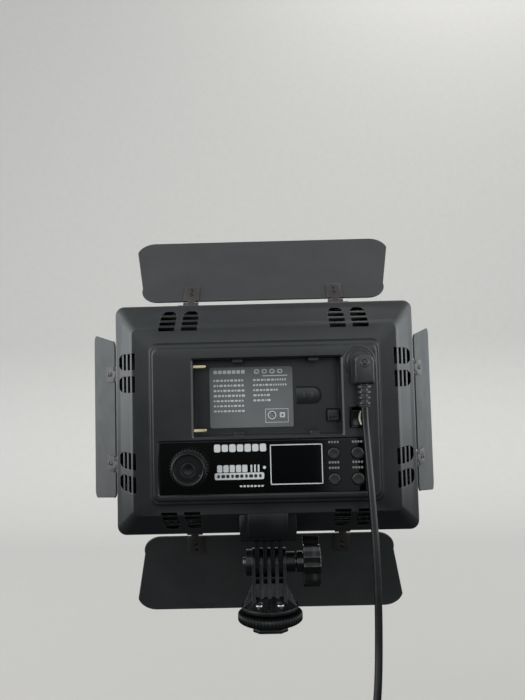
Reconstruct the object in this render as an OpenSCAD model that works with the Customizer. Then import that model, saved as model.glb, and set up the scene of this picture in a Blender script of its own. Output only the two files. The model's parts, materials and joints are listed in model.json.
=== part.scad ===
// LED panel light with four barn doors, a battery bay, a control panel and a finger tilt mount.
// Millimetres. Origin: axis of the stand thread at the underside of the shoe foot, +Z up.
// The back of the light faces -Y and the lamps face +Y.

/* [Housing] */
// Width across the rim
rim_w = 167; // [150:1:190]
// Height across the rim
rim_h = 127; // [115:1:145]
// Corner radius of the rim
rim_r = 5; // [3:0.5:12]
// Distance from the back face to the rim
rim_y = 22; // [18:0.5:28]
// Distance from the back face to the front face
front_y = 41; // [36:0.5:50]
// Wall thickness of the mouldings
wall = 2; // [1.5:0.1:2.4]
// Width of the flat shoulder
shoulder_w = 141; // [136:1:146]
// Height of the flat shoulder
shoulder_h = 98.8; // [96:0.2:104]
// Depth of the shoulder behind the back face
shoulder_y = 6.2; // [5:0.1:8]
// Width of the raised back face
face_w = 116.4; // [114:0.2:120]
// Height of the raised back face
face_h = 77; // [75:0.2:80]

/* [Battery bay] */
// Length of the bay
bay_w = 77.4; // [74:0.2:80]
// Height of the bay
bay_h = 40; // [39:0.2:42]
// Depth of the bay
bay_d = 12; // [9:0.5:13]

/* [Doors] */
// Length of the top and bottom doors along the hinge
door_w = 151; // [120:1:160]
// Length of the side doors along the hinge
side_door_w = 95; // [80:1:100]
// Reach of the top and bottom doors from the hinge axis
door_reach = 61; // [40:1:64]
// Reach of the side doors from the hinge axis
side_door_reach = 42; // [30:1:60]
// Flare of each door end, in degrees
door_flare = 8; // [0:1:14]
// Opening angle of the top door, 0 is closed
top_open = 141; // [90:1:180]
// Opening angle of the bottom door
bottom_open = 155; // [90:1:168]
// Opening angle of the left door
left_open = 125; // [90:1:180]
// Opening angle of the right door
right_open = 119; // [90:1:180]

/* [Tilt mount] */
// Tilt of the head at rest, in degrees
tilt = 7; // [0:1:15]
// Height of the tilt axis above the foot
pivot_z = 34; // [33:0.5:40]
// Radius of the tilt bolt
bolt_r = 3; // [2.5:0.1:3.2]
// Radius of the lock ring
ring_r = 17.6; // [15:0.1:18]
// Radius of the stand thread
thread_r = 3.2; // [3.1:0.05:3.3]

/* [Power lead] */
// Diameter of the lead
cord_d = 3.6; // [3:0.1:3.8]

/* [Hidden] */
$fn = 48;

fit = 0.06;
eps = 0.01;

// Colours
charcoal = "#2b2d30";
black = "#151618";
gloss = "#0b0c0e";
door_grey = "#3a3c3e";
strap_grey = "#6b6560";
label_grey = "#8c8f92";
gold = "#c8a24a";
steel = "#b9bcc0";

// The tilt axis in the head's own frame: x is to the right, y to the front, z up from the rim's middle
pivot_y = 22;
pivot_drop = 80;

// Back panel layout, in the head's own frame
bay_x = 1.3;
bay_z = 11.9;
face_z = -1.3;
panel_x = -1;
panel_z = -24;
panel_w = 109;
panel_h = 27.2;
knob_x = -39.5;
knob_z = -23.5;
display_x = 15.5;
display_z = -23.1;
display_w = 26.8;
display_h = 20.6;
button_x = [34.9, 47.1];
button_z = [-18, -31.2];
button_r = 3.1;
switch_x = 48.3;
switch_z = 0.8;
switch_w = 10;
switch_h = 11.6;
socket_x = 50;
socket_z = 28.5;
contact_y = 1.6;
shoulder_r = 3.2;
face_r = 4.4;
vent_x = [-52, -39.8, 39.8, 52];
vent_z = [32, 19.8, -21.2, -33.4];
vent_w = 8.8;
latch_x = 36.4;
latch_z = 0.9;
latch_w = 6.4;
rocker_y = 3.4;
rocker_tip = 9;
rocker_pin_r = 0.8;

// Boards and the lamp grid
board_y = 6.6;
board_w = 158;
board_h = 118;
led_cols = 20;
led_rows = 15;
led_pitch = 7.5;
screw_x = 76.2;
screw_z = 52;
screw_hole = 1.1;

// Doors: hinge axes in the head's own frame, and the strap and leaf sizes
// how far each hinge axis stands off the frame
top_gap = 3.5;
bottom_gap = 6;
side_gap = 5.3;
// the side doors sit a little below the middle
side_drop = 1.2;
side_hinge_y = front_y + 1.5;
door_hinge_y = front_y + 4;
strap_w = 9.2;
strap_t = 0.8;
barrel_r = 1.6;
hinge_pin_r = 0.8;
leaf_l = 15;
door_t = 1;
// outer face of a door, where its leaves lie
leaf_y = 0.8;
top_hinge_x = 44;
side_hinge_z = 27;
rivet_r = 1.4;
rivet_pitch = 4;

// Tilt mount
finger_pitch = 4.2;
finger_t = 1.8;
finger_gap = finger_pitch - finger_t;
finger_r = 7.6;
bracket_w = 30;
bracket_y0 = 7;
bracket_y1 = 37;
bracket_top = -46;
bracket_bottom = -66.5;
// the part of the bracket inside the housing ends here
bracket_inner_y1 = 27;
bracket_plate_top = -61.7;
name_plate = [21, 12];
name_plate_t = 0.8;
name_plate_z = -55.5;
bracket_screw_x = 11.5;
bracket_screw_y = 30;

// Strain relief of the plug
relief_y = -8;
relief_top = 17.6;
relief_end = 6;

// Lead: route of the hanging stretch, in the part's own frame
cord_route = [
    [50, -40.3, 116], [50, -39.4, 108], [50.1, -38.9, 99], [50.3, -38.8, 88], [50.5, -39, 76],
    [50.7, -39.2, 64], [50.8, -39.5, 52], [50.8, -39.7, 40], [50.7, -39.9, 28], [50.4, -40.1, 16],
    [49.9, -40.6, 5], [49.2, -41.6, -5], [48.3, -42.6, -14], [47.1, -43.3, -22], [45.2, -43.6, -29],
    [41.9, -43.6, -34.8]
];
cord_tail = [
    [37.8, -36.4, -58.1], [39.9, -36.6, -63.6], [42.2, -37.3, -69], [44.3, -38.2, -74.5],
    [45.6, -38.9, -80], [46, -39.2, -86]
];
coil_centre = [60, -40, -50];
coil_r = 20;
coil_turns = 3;
adapter_at = [46, -39.2, -86];

// ---------- helpers ----------

// Places its children, drawn in the head's own frame, at the tilt of the head
module at_head() {
    translate([0, 0, pivot_z])
        rotate([tilt, 0, 0])
            translate([0, -pivot_y, pivot_drop])
                children();
}

// Extrudes an outline drawn in x and z from depth y0 to depth y1
module slab(y0, y1) {
    translate([0, y1, 0])
        rotate([90, 0, 0])
            linear_extrude(y1 - y0)
                children();
}

// Rounded rectangle centred on x and z
module rounded(w, h, r, x = 0, z = 0) {
    translate([x, z]) {
        square([w - 2 * r, h], center = true);
        square([w, h - 2 * r], center = true);
        for (sx = [-1, 1], sz = [-1, 1])
            translate([sx * (w / 2 - r), sz * (h / 2 - r)])
                circle(r);
    }
}

// Cylinder along y at (x, z) from y0 to y1
module rod_y(r, y0, y1, x = 0, z = 0) {
    translate([x, y1, z])
        rotate([90, 0, 0])
            cylinder(r = r, h = y1 - y0);
}

// Cylinder along x from x0 to x1
module rod_x(r, x0, x1) {
    translate([x0, 0, 0])
        rotate([0, 90, 0])
            cylinder(r = r, h = x1 - x0);
}

// Block given by its middle in x and z, its size, and its depth from y0 to y1
module block(w, h, y0, y1, x = 0, z = 0) {
    translate([x - w / 2, y0, z - h / 2])
        cube([w, y1 - y0, h]);
}

// Outline of a wheel with rounded flutes
module fluted(r, depth, count) {
    steps = count * 4;
    polygon([for (i = [0 : steps - 1])
        let (a = 360 * i / steps, q = r - depth / 2 + depth / 2 * cos(count * a))
        [q * cos(a), q * sin(a)]]);
}

// Tube swept along a route
module sweep(route, r, sides) {
    last = len(route) - 1;
    function unit(v) = v / norm(v);
    function tangent(i) = unit(route[min(i + 1, last)] - route[max(i - 1, 0)]);
    function side(t) = unit(cross([1, 0, 0], t));
    points = [for (i = [0 : last])
        let (t = tangent(i), u = side(t), v = cross(t, u))
        each [for (k = [0 : sides - 1])
            route[i] + r * (cos(360 * k / sides) * u + sin(360 * k / sides) * v)]];
    skin = [for (i = [0 : last - 1], k = [0 : sides - 1])
        let (n = (k + 1) % sides)
        [i * sides + k, i * sides + n, (i + 1) * sides + n, (i + 1) * sides + k]];
    start = [for (k = [sides - 1 : -1 : 0]) k];
    end = [for (k = [0 : sides - 1]) last * sides + k];
    polyhedron(points, concat([start], skin, [end]), convexity = 4);
}

// ---------- housing ----------

// One ventilation opening: flat end on the shoulder, round end out on the slope, three cross bars
module vent() {
    reach = 12.5;
    bar = 1.3;
    pitch = 3.2;
    difference() {
        intersection() {
            union() {
                translate([-vent_w / 2, 0])
                    square([vent_w, reach - vent_w / 2]);
                translate([0, reach - vent_w / 2])
                    circle(vent_w / 2);
            }
            translate([-vent_w / 2, 0])
                square([vent_w, reach - 0.6]);
        }
        for (i = [1 : 3])
            translate([-vent_w, i * pitch - bar])
                square([2 * vent_w, bar]);
    }
}

module vent_field() {
    inset = 1.5;
    for (x = vent_x, s = [-1, 1])
        translate([x, s * (shoulder_h / 2 - inset)])
            mirror([0, s < 0 ? 1 : 0])
                vent();
    for (z = vent_z, s = [-1, 1])
        translate([s * (shoulder_w / 2 - inset), z])
            rotate(s * -90)
                vent();
}

// Sloped shell between the shoulder and the rim, shrunk by t
module slope_body(t) {
    hull() {
        slab(shoulder_y + t, shoulder_y + t + eps)
            rounded(shoulder_w - 2 * t, shoulder_h - 2 * t, shoulder_r);
        slab(rim_y - eps, rim_y)
            rounded(rim_w - 2 * t, rim_h - 2 * t, rim_r - t / 2);
    }
}

// Raised back face with its two-step edge
module raised_face() {
    step_y = 2.6;
    hull() {
        slab(shoulder_y, shoulder_y + 1)
            rounded(face_w + 7.2, face_h + 8.8, face_r, 0, face_z);
        slab(step_y, step_y + eps)
            rounded(face_w + 4.4, face_h + 6, face_r - 0.4, 0, face_z);
    }
    hull() {
        slab(step_y, step_y + 1)
            rounded(face_w + 1.6, face_h + 2.6, face_r - 0.9, 0, face_z);
        slab(0.8, 0.8 + eps)
            rounded(face_w + 1.4, face_h + 2.2, face_r - 0.9, 0, face_z);
    }
    hull() {
        slab(0.8, 0.8 + eps)
            rounded(face_w + 1.4, face_h + 2.2, face_r - 0.9, 0, face_z);
        slab(0, eps)
            rounded(face_w, face_h, face_r - 1.4, 0, face_z);
    }
}

// Small guide hooks on the long walls of the bay
module bay_hooks() {
    hook = [6.2, 2.2, 1.8];
    for (x = [-14, 26], s = [-1, 1])
        block(hook[0], 2 * hook[2], 2.4, 2.4 + hook[1], x, bay_z + s * bay_h / 2);
}

module rear_housing() {
    floor_y = bay_d + wall;
    color(charcoal) at_head() {
        difference() {
            union() {
                difference() {
                    slope_body(0);
                    slope_body(wall);
                }
                raised_face();
                slab(0.5, floor_y)
                    rounded(bay_w + 2 * wall, bay_h + 2 * wall, 1, bay_x, bay_z);
                // round boss of the power inlet
                rod_y(8.1, -1.2, 3, socket_x - 0.5, socket_z + 0.7);
                rod_y(6.6, -1.8, 3, socket_x - 0.5, socket_z + 0.7);
            }
            // hollow of the raised face, around the bay
            difference() {
                slab(2.5, shoulder_y + wall + eps)
                    rounded(face_w - 2 * wall, face_h - 2 * wall, 4, 0, face_z);
                slab(0, 20)
                    rounded(bay_w + 2 * wall, bay_h + 2 * wall, 1, bay_x, bay_z);
            }
            // battery bay
            slab(-1, bay_d)
                square_at(bay_w, bay_h, bay_x, bay_z);
            slab(0, floor_y + 1)
                square_at(latch_w + 0.6, latch_w + 0.6, latch_x, latch_z);
            // pocket and openings of the control panel
            slab(-1, 1.5)
                rounded(panel_w + 0.3, panel_h + 0.3, 0.8, panel_x, panel_z);
            rod_y(3.7, -1, 4, knob_x, knob_z);
            for (x = button_x, z = button_z)
                rod_y(button_r + 0.25, -1, 4, x, z);
            block(display_w - 3, display_h - 3, -1, 4, display_x, display_z);
            // power switch and inlet
            block(switch_w - 0.8, switch_h - 0.8, -1, 4, switch_x, switch_z);
            rod_y(3.1, -3, 4, socket_x, socket_z);
            slab(-1, rim_y - 1)
                vent_field();
            // seat of the tilt bracket
            bracket_seat(0.05);
        }
        intersection() {
            bay_hooks();
            block(bay_w, bay_h + 1, 0, bay_d, bay_x, bay_z);
        }
    }
}

module square_at(w, h, x, z) {
    translate([x, z])
        square([w, h], center = true);
}

// Front half: side walls, front lip and the ribs that hold the boards
module front_frame() {
    lip = 6;
    color(charcoal) at_head() {
        difference() {
            slab(rim_y, front_y)
                rounded(rim_w, rim_h, rim_r);
            slab(rim_y - 1, front_y - wall)
                rounded(rim_w - 2 * wall, rim_h - 2 * wall, rim_r - wall);
            slab(front_y - wall - 1, front_y + 1)
                rounded(rim_w - 2 * wall - 2 * lip, rim_h - 2 * wall - 2 * lip, 3);
            bracket_seat(0.05);
        }
        at_board_screws()
            difference() {
                rod_y(3, 24, 29.4);
                rod_y(screw_hole, 23, 30);
            }
        // ribs join the posts to the side walls
        for (s = [-1, 1], z = [-screw_z, screw_z])
            block(4, 1.4, 24, 29.4, s * (screw_x + 3.8), z);
    }
}

module diffuser() {
    color("#e9edf0", 0.6) at_head()
        slab(36.6, front_y - wall)
            rounded(rim_w - 2 * wall - 0.4, rim_h - 2 * wall - 0.4, rim_r - wall);
}

// ---------- light engine ----------

// Children at the four screw places of the lamp board
module at_board_screws() {
    for (sx = [-1, 1], sz = [-1, 1])
        translate([sx * screw_x, 0, sz * screw_z])
            children();
}

// Plate of the lamp board's outline with its four screw holes
module engine_plate(y0, y1) {
    difference() {
        slab(y0, y1)
            rounded(board_w, board_h, 4);
        at_board_screws()
            rod_y(screw_hole, y0 - 1, y1 + 1);
    }
}

module heat_plate() {
    color(steel) at_head()
        engine_plate(29.4, 31);
}

module led_board() {
    color("#f1f1ec") at_head()
        engine_plate(31, 32.6);
}

// Lamps of one colour, on alternate places of the grid
module led_set(parity) {
    for (i = [0 : led_cols - 1], j = [0 : led_rows - 1])
        if ((i + j) % 2 == parity)
            block(3.5, 2.8, 32.6, 33.4,
                (i - (led_cols - 1) / 2) * led_pitch, (j - (led_rows - 1) / 2) * led_pitch);
}

module cool_leds() {
    color("#f4f6ff") at_head()
        led_set(0);
}

module warm_leds() {
    color("#f6c65a") at_head()
        led_set(1);
}

// ---------- boards and what is on them ----------

module driver_board() {
    color("#1d5a3a") at_head() {
        slab(20, 21.6)
            rounded(118, 66, 2, 0, 4);
        for (x = [-38, 30])
            rod_y(5, 21.6, 26.5, x, -14);
        block(9, 9, 21.6, 25.2, -20, -14);
        block(7, 10, 21.6, 23.2, 4, -10);
    }
}

module control_board() {
    color("#1d5a3a") at_head()
        slab(board_y, board_y + 1.6)
            rounded(100, 24, 1, 2.5, panel_z);
}

module board_screws() {
    color(steel) at_head()
        at_board_screws() {
            rod_y(screw_hole - 0.1, 25, 32.6);
            rod_y(1.9, 32.6, 33.8);
        }
}

module battery_contacts() {
    blade_z = [28.4, -4.9];
    color(gold) at_head()
        for (z = blade_z) {
            block(6, 1.5, contact_y, contact_y + 0.8, bay_x - bay_w / 2 + 3, z);
            rod_y(0.75, contact_y, contact_y + 0.8, bay_x - bay_w / 2 + 6, z);
        }
}

// U-shaped tongue in the floor of the bay, with two ribs
module spring_tongue() {
    color(charcoal) at_head() {
        slab(bay_d - 0.8, bay_d) {
            square_at(9, 8, 21.4, bay_z);
            translate([25.9, bay_z])
                circle(3.9);
        }
        for (x = [21.6, 26])
            block(1.2, 3.6, bay_d - 1.4, bay_d - 0.7, x, bay_z);
    }
}

module battery_latch() {
    color(black) at_head() {
        block(latch_w, latch_w, bay_d - 4, bay_d + wall + 0.6, latch_x, latch_z);
        // flange behind the floor keeps the latch in
        block(latch_w + 2.4, latch_w + 2.4, bay_d + wall + 0.05, bay_d + wall + 0.9, latch_x, latch_z);
    }
}

module rating_plate() {
    color(label_grey) at_head()
        slab(bay_d - 0.4, bay_d)
            rounded(45.2, 32.8, 1, -7.4, bay_z - 0.4);
}

module control_panel() {
    color(gloss) at_head()
        difference() {
            slab(0.3, 1.5)
                rounded(panel_w, panel_h, 0.6, panel_x, panel_z);
            rod_y(3.8, 0, 2, knob_x, knob_z);
            for (x = button_x, z = button_z)
                rod_y(button_r + 0.15, 0, 2, x, z);
            block(display_w, display_h, 0, 2, display_x, display_z);
        }
}

module display() {
    color("#0a0d12") at_head() {
        block(display_w - 0.2, display_h - 0.2, 0.3, 1.4, display_x, display_z);
        block(display_w - 3.4, display_h - 3.4, 1.4, 5, display_x, display_z);
    }
}

module encoder_body() {
    color(steel) at_head()
        difference() {
            union() {
                block(11, 11, 2.6, board_y, knob_x, knob_z);
                rod_y(3.5, 0.4, 3, knob_x, knob_z);
            }
            rod_y(2.5 + fit, 0, 5, knob_x, knob_z);
        }
}

module encoder_shaft() {
    color(steel) at_head()
        rod_y(2.5, -5.5, 4.9, knob_x, knob_z);
}

// Knurled knob with a bevelled shoulder, a dished face and a dimple
module dimmer_knob() {
    profile = [[0, 0], [9.3, 0], [9.3, 5.2], [8.9, 6.4], [8.1, 7.5], [7.7, 7.5], [7.4, 7.2], [0, 7.2]];
    color(black) at_head()
        translate([knob_x, -0.3, knob_z])
            rotate([90, 0, 0])
                difference() {
                    union() {
                        linear_extrude(4.8)
                            fluted(10, 0.8, 36);
                        rotate_extrude()
                            polygon(profile);
                    }
                    translate([0, 0, -1])
                        cylinder(r = 2.5, h = 6.2);
                    // ring groove around the dimple
                    translate([0, 0, 6.8])
                        difference() {
                            cylinder(r = 3.8, h = 1);
                            translate([0, 0, -1])
                                cylinder(r = 3.2, h = 3);
                        }
                    translate([6.1, -3.1, 6.7])
                        cylinder(r = 0.6, h = 2);
                }
}

module push_button(x, z) {
    color(charcoal) at_head() {
        rod_y(button_r, -0.5, 4, x, z);
        rod_y(button_r + 0.8, 2.7, 3.6, x, z);
    }
}

module exit_button() {
    push_button(button_x[0], button_z[0]);
}

module ok_button() {
    push_button(button_x[1], button_z[0]);
}

module coarse_button() {
    push_button(button_x[0], button_z[1]);
}

module scene_button() {
    push_button(button_x[1], button_z[1]);
}

// Tact switches under the four buttons
module key_switches() {
    color(steel) at_head()
        for (x = button_x, z = button_z)
            block(5, 5, 5, board_y, x, z);
}

module switch_frame() {
    color(black) at_head()
        difference() {
            union() {
                slab(-0.9, 0)
                    rounded(switch_w, switch_h, 0.8, switch_x, switch_z);
                block(switch_w - 1, switch_h - 1, -0.1, 10, switch_x, switch_z);
            }
            block(switch_w - 3, switch_h - 2.1, -2, 8.5, switch_x, switch_z);
            translate([switch_x, rocker_y, switch_z])
                rod_x(rocker_pin_r + fit, -4.2, 4.2);
        }
}

// Rocker with two faces and a pivot pin, tipped to its off side
module power_rocker() {
    half = switch_h / 2 - 2;
    width = switch_w - 3.8;
    outline = [
        [-4.6, -half], [-3.6, 0], [-4.6, half], [1.2, half - 1.2], [2.4, 0], [1.2, -half + 1.2]
    ];
    color(gloss) at_head()
        translate([switch_x, rocker_y, switch_z])
            rotate([rocker_tip, 0, 0]) {
                rotate([90, 0, 90])
                    translate([0, 0, -width / 2])
                        linear_extrude(width)
                            polygon(outline);
                rod_x(rocker_pin_r, -4.1, 4.1);
            }
}

module dc_socket() {
    color(black) at_head()
        difference() {
            block(9, 11, 2.5, 13.5, socket_x, socket_z);
            rod_y(2.85, 0, 12, socket_x, socket_z);
        }
    color(gold) at_head()
        rod_y(0.95, 4, 12.5, socket_x, socket_z);
}

// ---------- lead ----------

// Right-angle plug: hollow barrel and a moulded head
module dc_plug() {
    head_y = -8.4;
    color(steel) at_head()
        difference() {
            rod_y(2.75, -2.6, 11.4, socket_x, socket_z);
            rod_y(1.05, 2, 12, socket_x, socket_z);
        }
    color(black) at_head() {
        hull() {
            slab(-3.6, -2)
                plug_outline(5.4, 3.8);
            slab(-11.4, -5)
                plug_outline(4.9, 3.5);
            slab(-12.8, -12.7)
                plug_outline(4.35, 3);
        }
        difference() {
            rod_y(2.2, -13.1, head_y, socket_x, socket_z - 0.4);
            rod_y(1.6, -14, -12.8, socket_x, socket_z - 0.4);
        }
    }
}

// Outline of the plug's head: square below, rounded at the top
module plug_outline(half, top) {
    corner = 2.6;
    drop = 11;
    translate([socket_x, socket_z]) {
        translate([-half, -drop])
            square([2 * half, drop + top - corner]);
        for (s = [-1, 1])
            translate([s * (half - corner), top - corner])
                circle(corner);
    }
}

// Tapered relief with four ribs
module strain_relief() {
    color(black) at_head()
        translate([socket_x, relief_y, 0]) {
            translate([0, 0, relief_end])
                cylinder(r1 = cord_d / 2 + 0.5, r2 = 3.1, h = relief_top - relief_end, $fn = 32);
            for (i = [0 : 3])
                translate([0, 0, relief_end + 1.4 + i * 2.7])
                    cylinder(r = 3 + 0.22 * i, h = 1.5, $fn = 32);
        }
}

module power_cord() {
    color(black) {
        sweep(cord_route, cord_d / 2, 8);
        sweep(cord_tail, cord_d / 2, 8);
    }
}

// Closed ring that the wound turns fill
module cord_coil() {
    half = coil_turns * cord_d / 2;
    color(black)
        translate(coil_centre)
            rotate([90, 0, 0])
                rotate_extrude()
                    translate([coil_r, 0])
                        rounded(2 * half, 2 * half, 1.6);
}

// Band around the bundle at its right side
module cord_tie() {
    inner = coil_turns * cord_d + 0.1;
    band = 1.2;
    color(black)
        translate(coil_centre + [coil_r, 0, -4])
            linear_extrude(8)
                difference() {
                    rounded(inner + 2 * band, inner + 2 * band, 2.4);
                    rounded(inner, inner, 1.4);
                }
}

// Plug-in supply with its neck and two flat pins
module wall_adapter() {
    color(black)
        translate(adapter_at) {
            translate([0, 0, -9])
                cylinder(r1 = 3.4, r2 = 2.3, h = 9, $fn = 32);
            difference() {
                translate([0, 0, -63])
                    linear_extrude(55)
                        rounded(36, 26, 4);
                translate([-20, -14, -36])
                    difference() {
                        cube([40, 28, 0.6]);
                        translate([20, 14, -1])
                            linear_extrude(3)
                                rounded(35.2, 25.2, 3.6);
                    }
            }
        }
    color(steel)
        translate(adapter_at)
            for (s = [-1, 1])
                translate([s * 6.35 - 0.75, -3.2, -80])
                    cube([1.5, 6.4, 18]);
}

// ---------- doors ----------

// Places its children at a hinge axis: x along the hinge, -z from the axis over the front when closed
module at_hinge(wall_angle, out, y) {
    rotate([0, wall_angle, 0])
        translate([0, y, out])
            children();
}

module at_top() {
    at_head() at_hinge(0, rim_h / 2 + top_gap, door_hinge_y) children();
}

module at_bottom() {
    at_head() at_hinge(180, rim_h / 2 + bottom_gap, door_hinge_y) children();
}

module at_left() {
    at_head()
        translate([0, 0, -side_drop])
            at_hinge(-90, rim_w / 2 + side_gap, side_hinge_y) children();
}

module at_right() {
    at_head()
        translate([0, 0, -side_drop])
            at_hinge(90, rim_w / 2 + side_gap, side_hinge_y) children();
}

// Trapezoid sheet with rounded corners, its hinge edge 2.6 mm from the axis
module door_sheet(w, reach, corner) {
    start = 2.6;
    grow = (reach - start) * tan(door_flare);
    corners = [
        [-w / 2 + corner, -start - corner], [w / 2 - corner, -start - corner],
        [w / 2 + grow - corner, -reach + corner], [-w / 2 - grow + corner, -reach + corner]
    ];
    hull()
        for (p = corners)
            translate([p[0], 0, p[1]])
                rod_y(corner, leaf_y - door_t, leaf_y, $fn = 32);
}

// Sheet with its rivet holes
module door_panel(w, reach, hinge_x, corner) {
    color(door_grey)
        difference() {
            door_sheet(w, reach, corner);
            rivet_spots(hinge_x)
                rod_y(rivet_r - 0.3, -1, 2);
        }
}

module rivet_spots(hinge_x) {
    for (s = [-1, 1], k = [0, 1])
        translate([s * hinge_x, 0, -7.5 - k * rivet_pitch])
            children();
}

// Leaf with its middle barrel
module leaf_pair(hinge_x) {
    barrel_w = 4.4;
    color(strap_grey)
        for (s = [-1, 1])
            translate([s * hinge_x, 0, 0])
                difference() {
                    union() {
                        block(strap_w, leaf_l - 2.2, leaf_y, leaf_y + strap_t, 0, -leaf_l / 2 - 1.1);
                        block(barrel_w, 2.6, leaf_y, barrel_r, 0, -1.3);
                        rod_x(barrel_r, -barrel_w / 2, barrel_w / 2);
                    }
                    rod_x(hinge_pin_r + fit, -barrel_w, barrel_w);
                    for (k = [0, 1])
                        rod_y(rivet_r - 0.3, 0, 3, 0, -7.5 - k * rivet_pitch);
                }
}

module leaf_rivets(hinge_x) {
    color(black)
        rivet_spots(hinge_x) {
            rod_y(rivet_r - 0.3, leaf_y - door_t, leaf_y + strap_t);
            rod_y(rivet_r, leaf_y + strap_t, leaf_y + strap_t + 0.5);
            rod_y(rivet_r, leaf_y - door_t - 0.5, leaf_y - door_t);
        }
}

// Fixed strap: two outer barrels and the plate down the side wall
module strap(y, gap) {
    side_w = 2.3;
    plate_y0 = rim_y + 3 - y;
    for (s = [-1, 1])
        difference() {
            union() {
                translate([s * (strap_w - side_w) / 2, 0, 0])
                    rod_x(barrel_r, -side_w / 2, side_w / 2);
                translate([s * (strap_w - side_w) / 2, 0, -gap / 2])
                    block(side_w, gap, -barrel_r, -barrel_r + strap_t);
            }
            rod_x(hinge_pin_r, -strap_w, strap_w);
        }
    block(strap_w, strap_t, plate_y0, -barrel_r + strap_t, 0, -gap + strap_t / 2);
}

module hinge_pair(y, hinge_x, gap) {
    for (s = [-1, 1])
        translate([s * hinge_x, 0, 0])
            strap(y, gap);
}

module hinge_straps() {
    color(strap_grey) {
        at_top() hinge_pair(door_hinge_y, top_hinge_x, top_gap);
        at_bottom() hinge_pair(door_hinge_y, top_hinge_x, bottom_gap);
        at_left() hinge_pair(side_hinge_y, side_hinge_z, side_gap);
        at_right() hinge_pair(side_hinge_y, side_hinge_z, side_gap);
    }
}

module strap_rivet_set(y, hinge_x, gap) {
    for (s = [-1, 1], k = [0, 1])
        translate([s * hinge_x, rim_y + 6 + k * 5 - y, -gap + strap_t])
            cylinder(r = rivet_r, h = 0.6);
}

module strap_rivets() {
    color(black) {
        at_top() strap_rivet_set(door_hinge_y, top_hinge_x, top_gap);
        at_bottom() strap_rivet_set(door_hinge_y, top_hinge_x, bottom_gap);
        at_left() strap_rivet_set(side_hinge_y, side_hinge_z, side_gap);
        at_right() strap_rivet_set(side_hinge_y, side_hinge_z, side_gap);
    }
}

module pin_set(hinge_x) {
    for (s = [-1, 1])
        translate([s * hinge_x, 0, 0])
            rod_x(hinge_pin_r, -strap_w / 2 - 0.4, strap_w / 2 + 0.4);
}

module hinge_pins() {
    color(steel) {
        at_top() pin_set(top_hinge_x);
        at_bottom() pin_set(top_hinge_x);
        at_left() pin_set(side_hinge_z);
        at_right() pin_set(side_hinge_z);
    }
}

module top_door() {
    at_top() rotate([top_open, 0, 0])
        door_panel(door_w, door_reach, top_hinge_x, 11);
}

module bottom_door() {
    at_bottom() rotate([bottom_open, 0, 0])
        door_panel(door_w, door_reach, top_hinge_x, 11);
}

module left_door() {
    at_left() rotate([left_open, 0, 0])
        door_panel(side_door_w, side_door_reach, side_hinge_z, 4);
}

module right_door() {
    at_right() rotate([right_open, 0, 0])
        door_panel(side_door_w, side_door_reach, side_hinge_z, 4);
}

module top_leaves() {
    at_top() rotate([top_open, 0, 0])
        leaf_pair(top_hinge_x);
}

module bottom_leaves() {
    at_bottom() rotate([bottom_open, 0, 0])
        leaf_pair(top_hinge_x);
}

module left_leaves() {
    at_left() rotate([left_open, 0, 0])
        leaf_pair(side_hinge_z);
}

module right_leaves() {
    at_right() rotate([right_open, 0, 0])
        leaf_pair(side_hinge_z);
}

module top_rivets() {
    at_top() rotate([top_open, 0, 0])
        leaf_rivets(top_hinge_x);
}

module bottom_rivets() {
    at_bottom() rotate([bottom_open, 0, 0])
        leaf_rivets(top_hinge_x);
}

module left_rivets() {
    at_left() rotate([left_open, 0, 0])
        leaf_rivets(side_hinge_z);
}

module right_rivets() {
    at_right() rotate([right_open, 0, 0])
        leaf_rivets(side_hinge_z);
}

// ---------- tilt mount ----------

// Room that the bracket takes out of the housing
module bracket_seat(gap = 0) {
    inner_h = bracket_top - bracket_bottom;
    outer_h = bracket_plate_top - bracket_bottom;
    block(bracket_w + 2 * gap, inner_h, bracket_y0 - gap, bracket_inner_y1 + gap,
        0, bracket_top - inner_h / 2);
    block(bracket_w + 2 * gap, outer_h, bracket_y0 - gap, bracket_y1 + gap,
        0, bracket_plate_top - outer_h / 2);
    block(name_plate[0] + 2 * gap, name_plate[1] + 2 * gap, bracket_y0 - name_plate_t - gap, bracket_y0,
        0, name_plate_z);
}

// Finger that reaches from the pivot to the block it grows from, in the head's own frame
module upper_finger(x) {
    translate([x, pivot_y, -pivot_drop]) {
        rod_x(finger_r, -(finger_gap - 0.3) / 2, (finger_gap - 0.3) / 2);
        translate([-(finger_gap - 0.3) / 2, -finger_r, 0])
            cube([finger_gap - 0.3, 2 * finger_r, pivot_drop + bracket_bottom + 1]);
    }
}

module upper_bracket() {
    color(black) at_head()
        difference() {
            union() {
                bracket_seat();
                for (i = [-1.5 : 1 : 1.5])
                    upper_finger(i * finger_pitch);
            }
            translate([0, pivot_y, -pivot_drop])
                rod_x(bolt_r + fit, -20, 20);
            for (sx = [-1, 1])
                translate([sx * bracket_screw_x, bracket_screw_y, bracket_bottom - 1])
                    cylinder(r = 1.6, h = 8);
            // slope under the back of the block
            rotate([90, 0, 90])
                linear_extrude(bracket_w + 2, center = true)
                    polygon([
                        [bracket_y0 - 1, bracket_bottom - 1], [bracket_y0 + 7.4, bracket_bottom - 1],
                        [bracket_y0 + 7.4, bracket_bottom], [bracket_y0, bracket_bottom + 3.3],
                        [bracket_y0 - 1, bracket_bottom + 3.3]
                    ]);
            // hollow behind the housing wall keeps the wall thin
            block(bracket_w - 5, 9, bracket_y0 + 3, bracket_inner_y1 - 3, 0, bracket_top - 3);
        }
}

module bracket_screws() {
    color(steel) at_head()
        for (sx = [-1, 1])
            translate([sx * bracket_screw_x, bracket_screw_y, bracket_bottom]) {
                translate([0, 0, -1.4])
                    cylinder(r = 2.8, h = 1.4);
                cylinder(r = 1.5, h = bracket_plate_top - bracket_bottom);
            }
}

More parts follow.
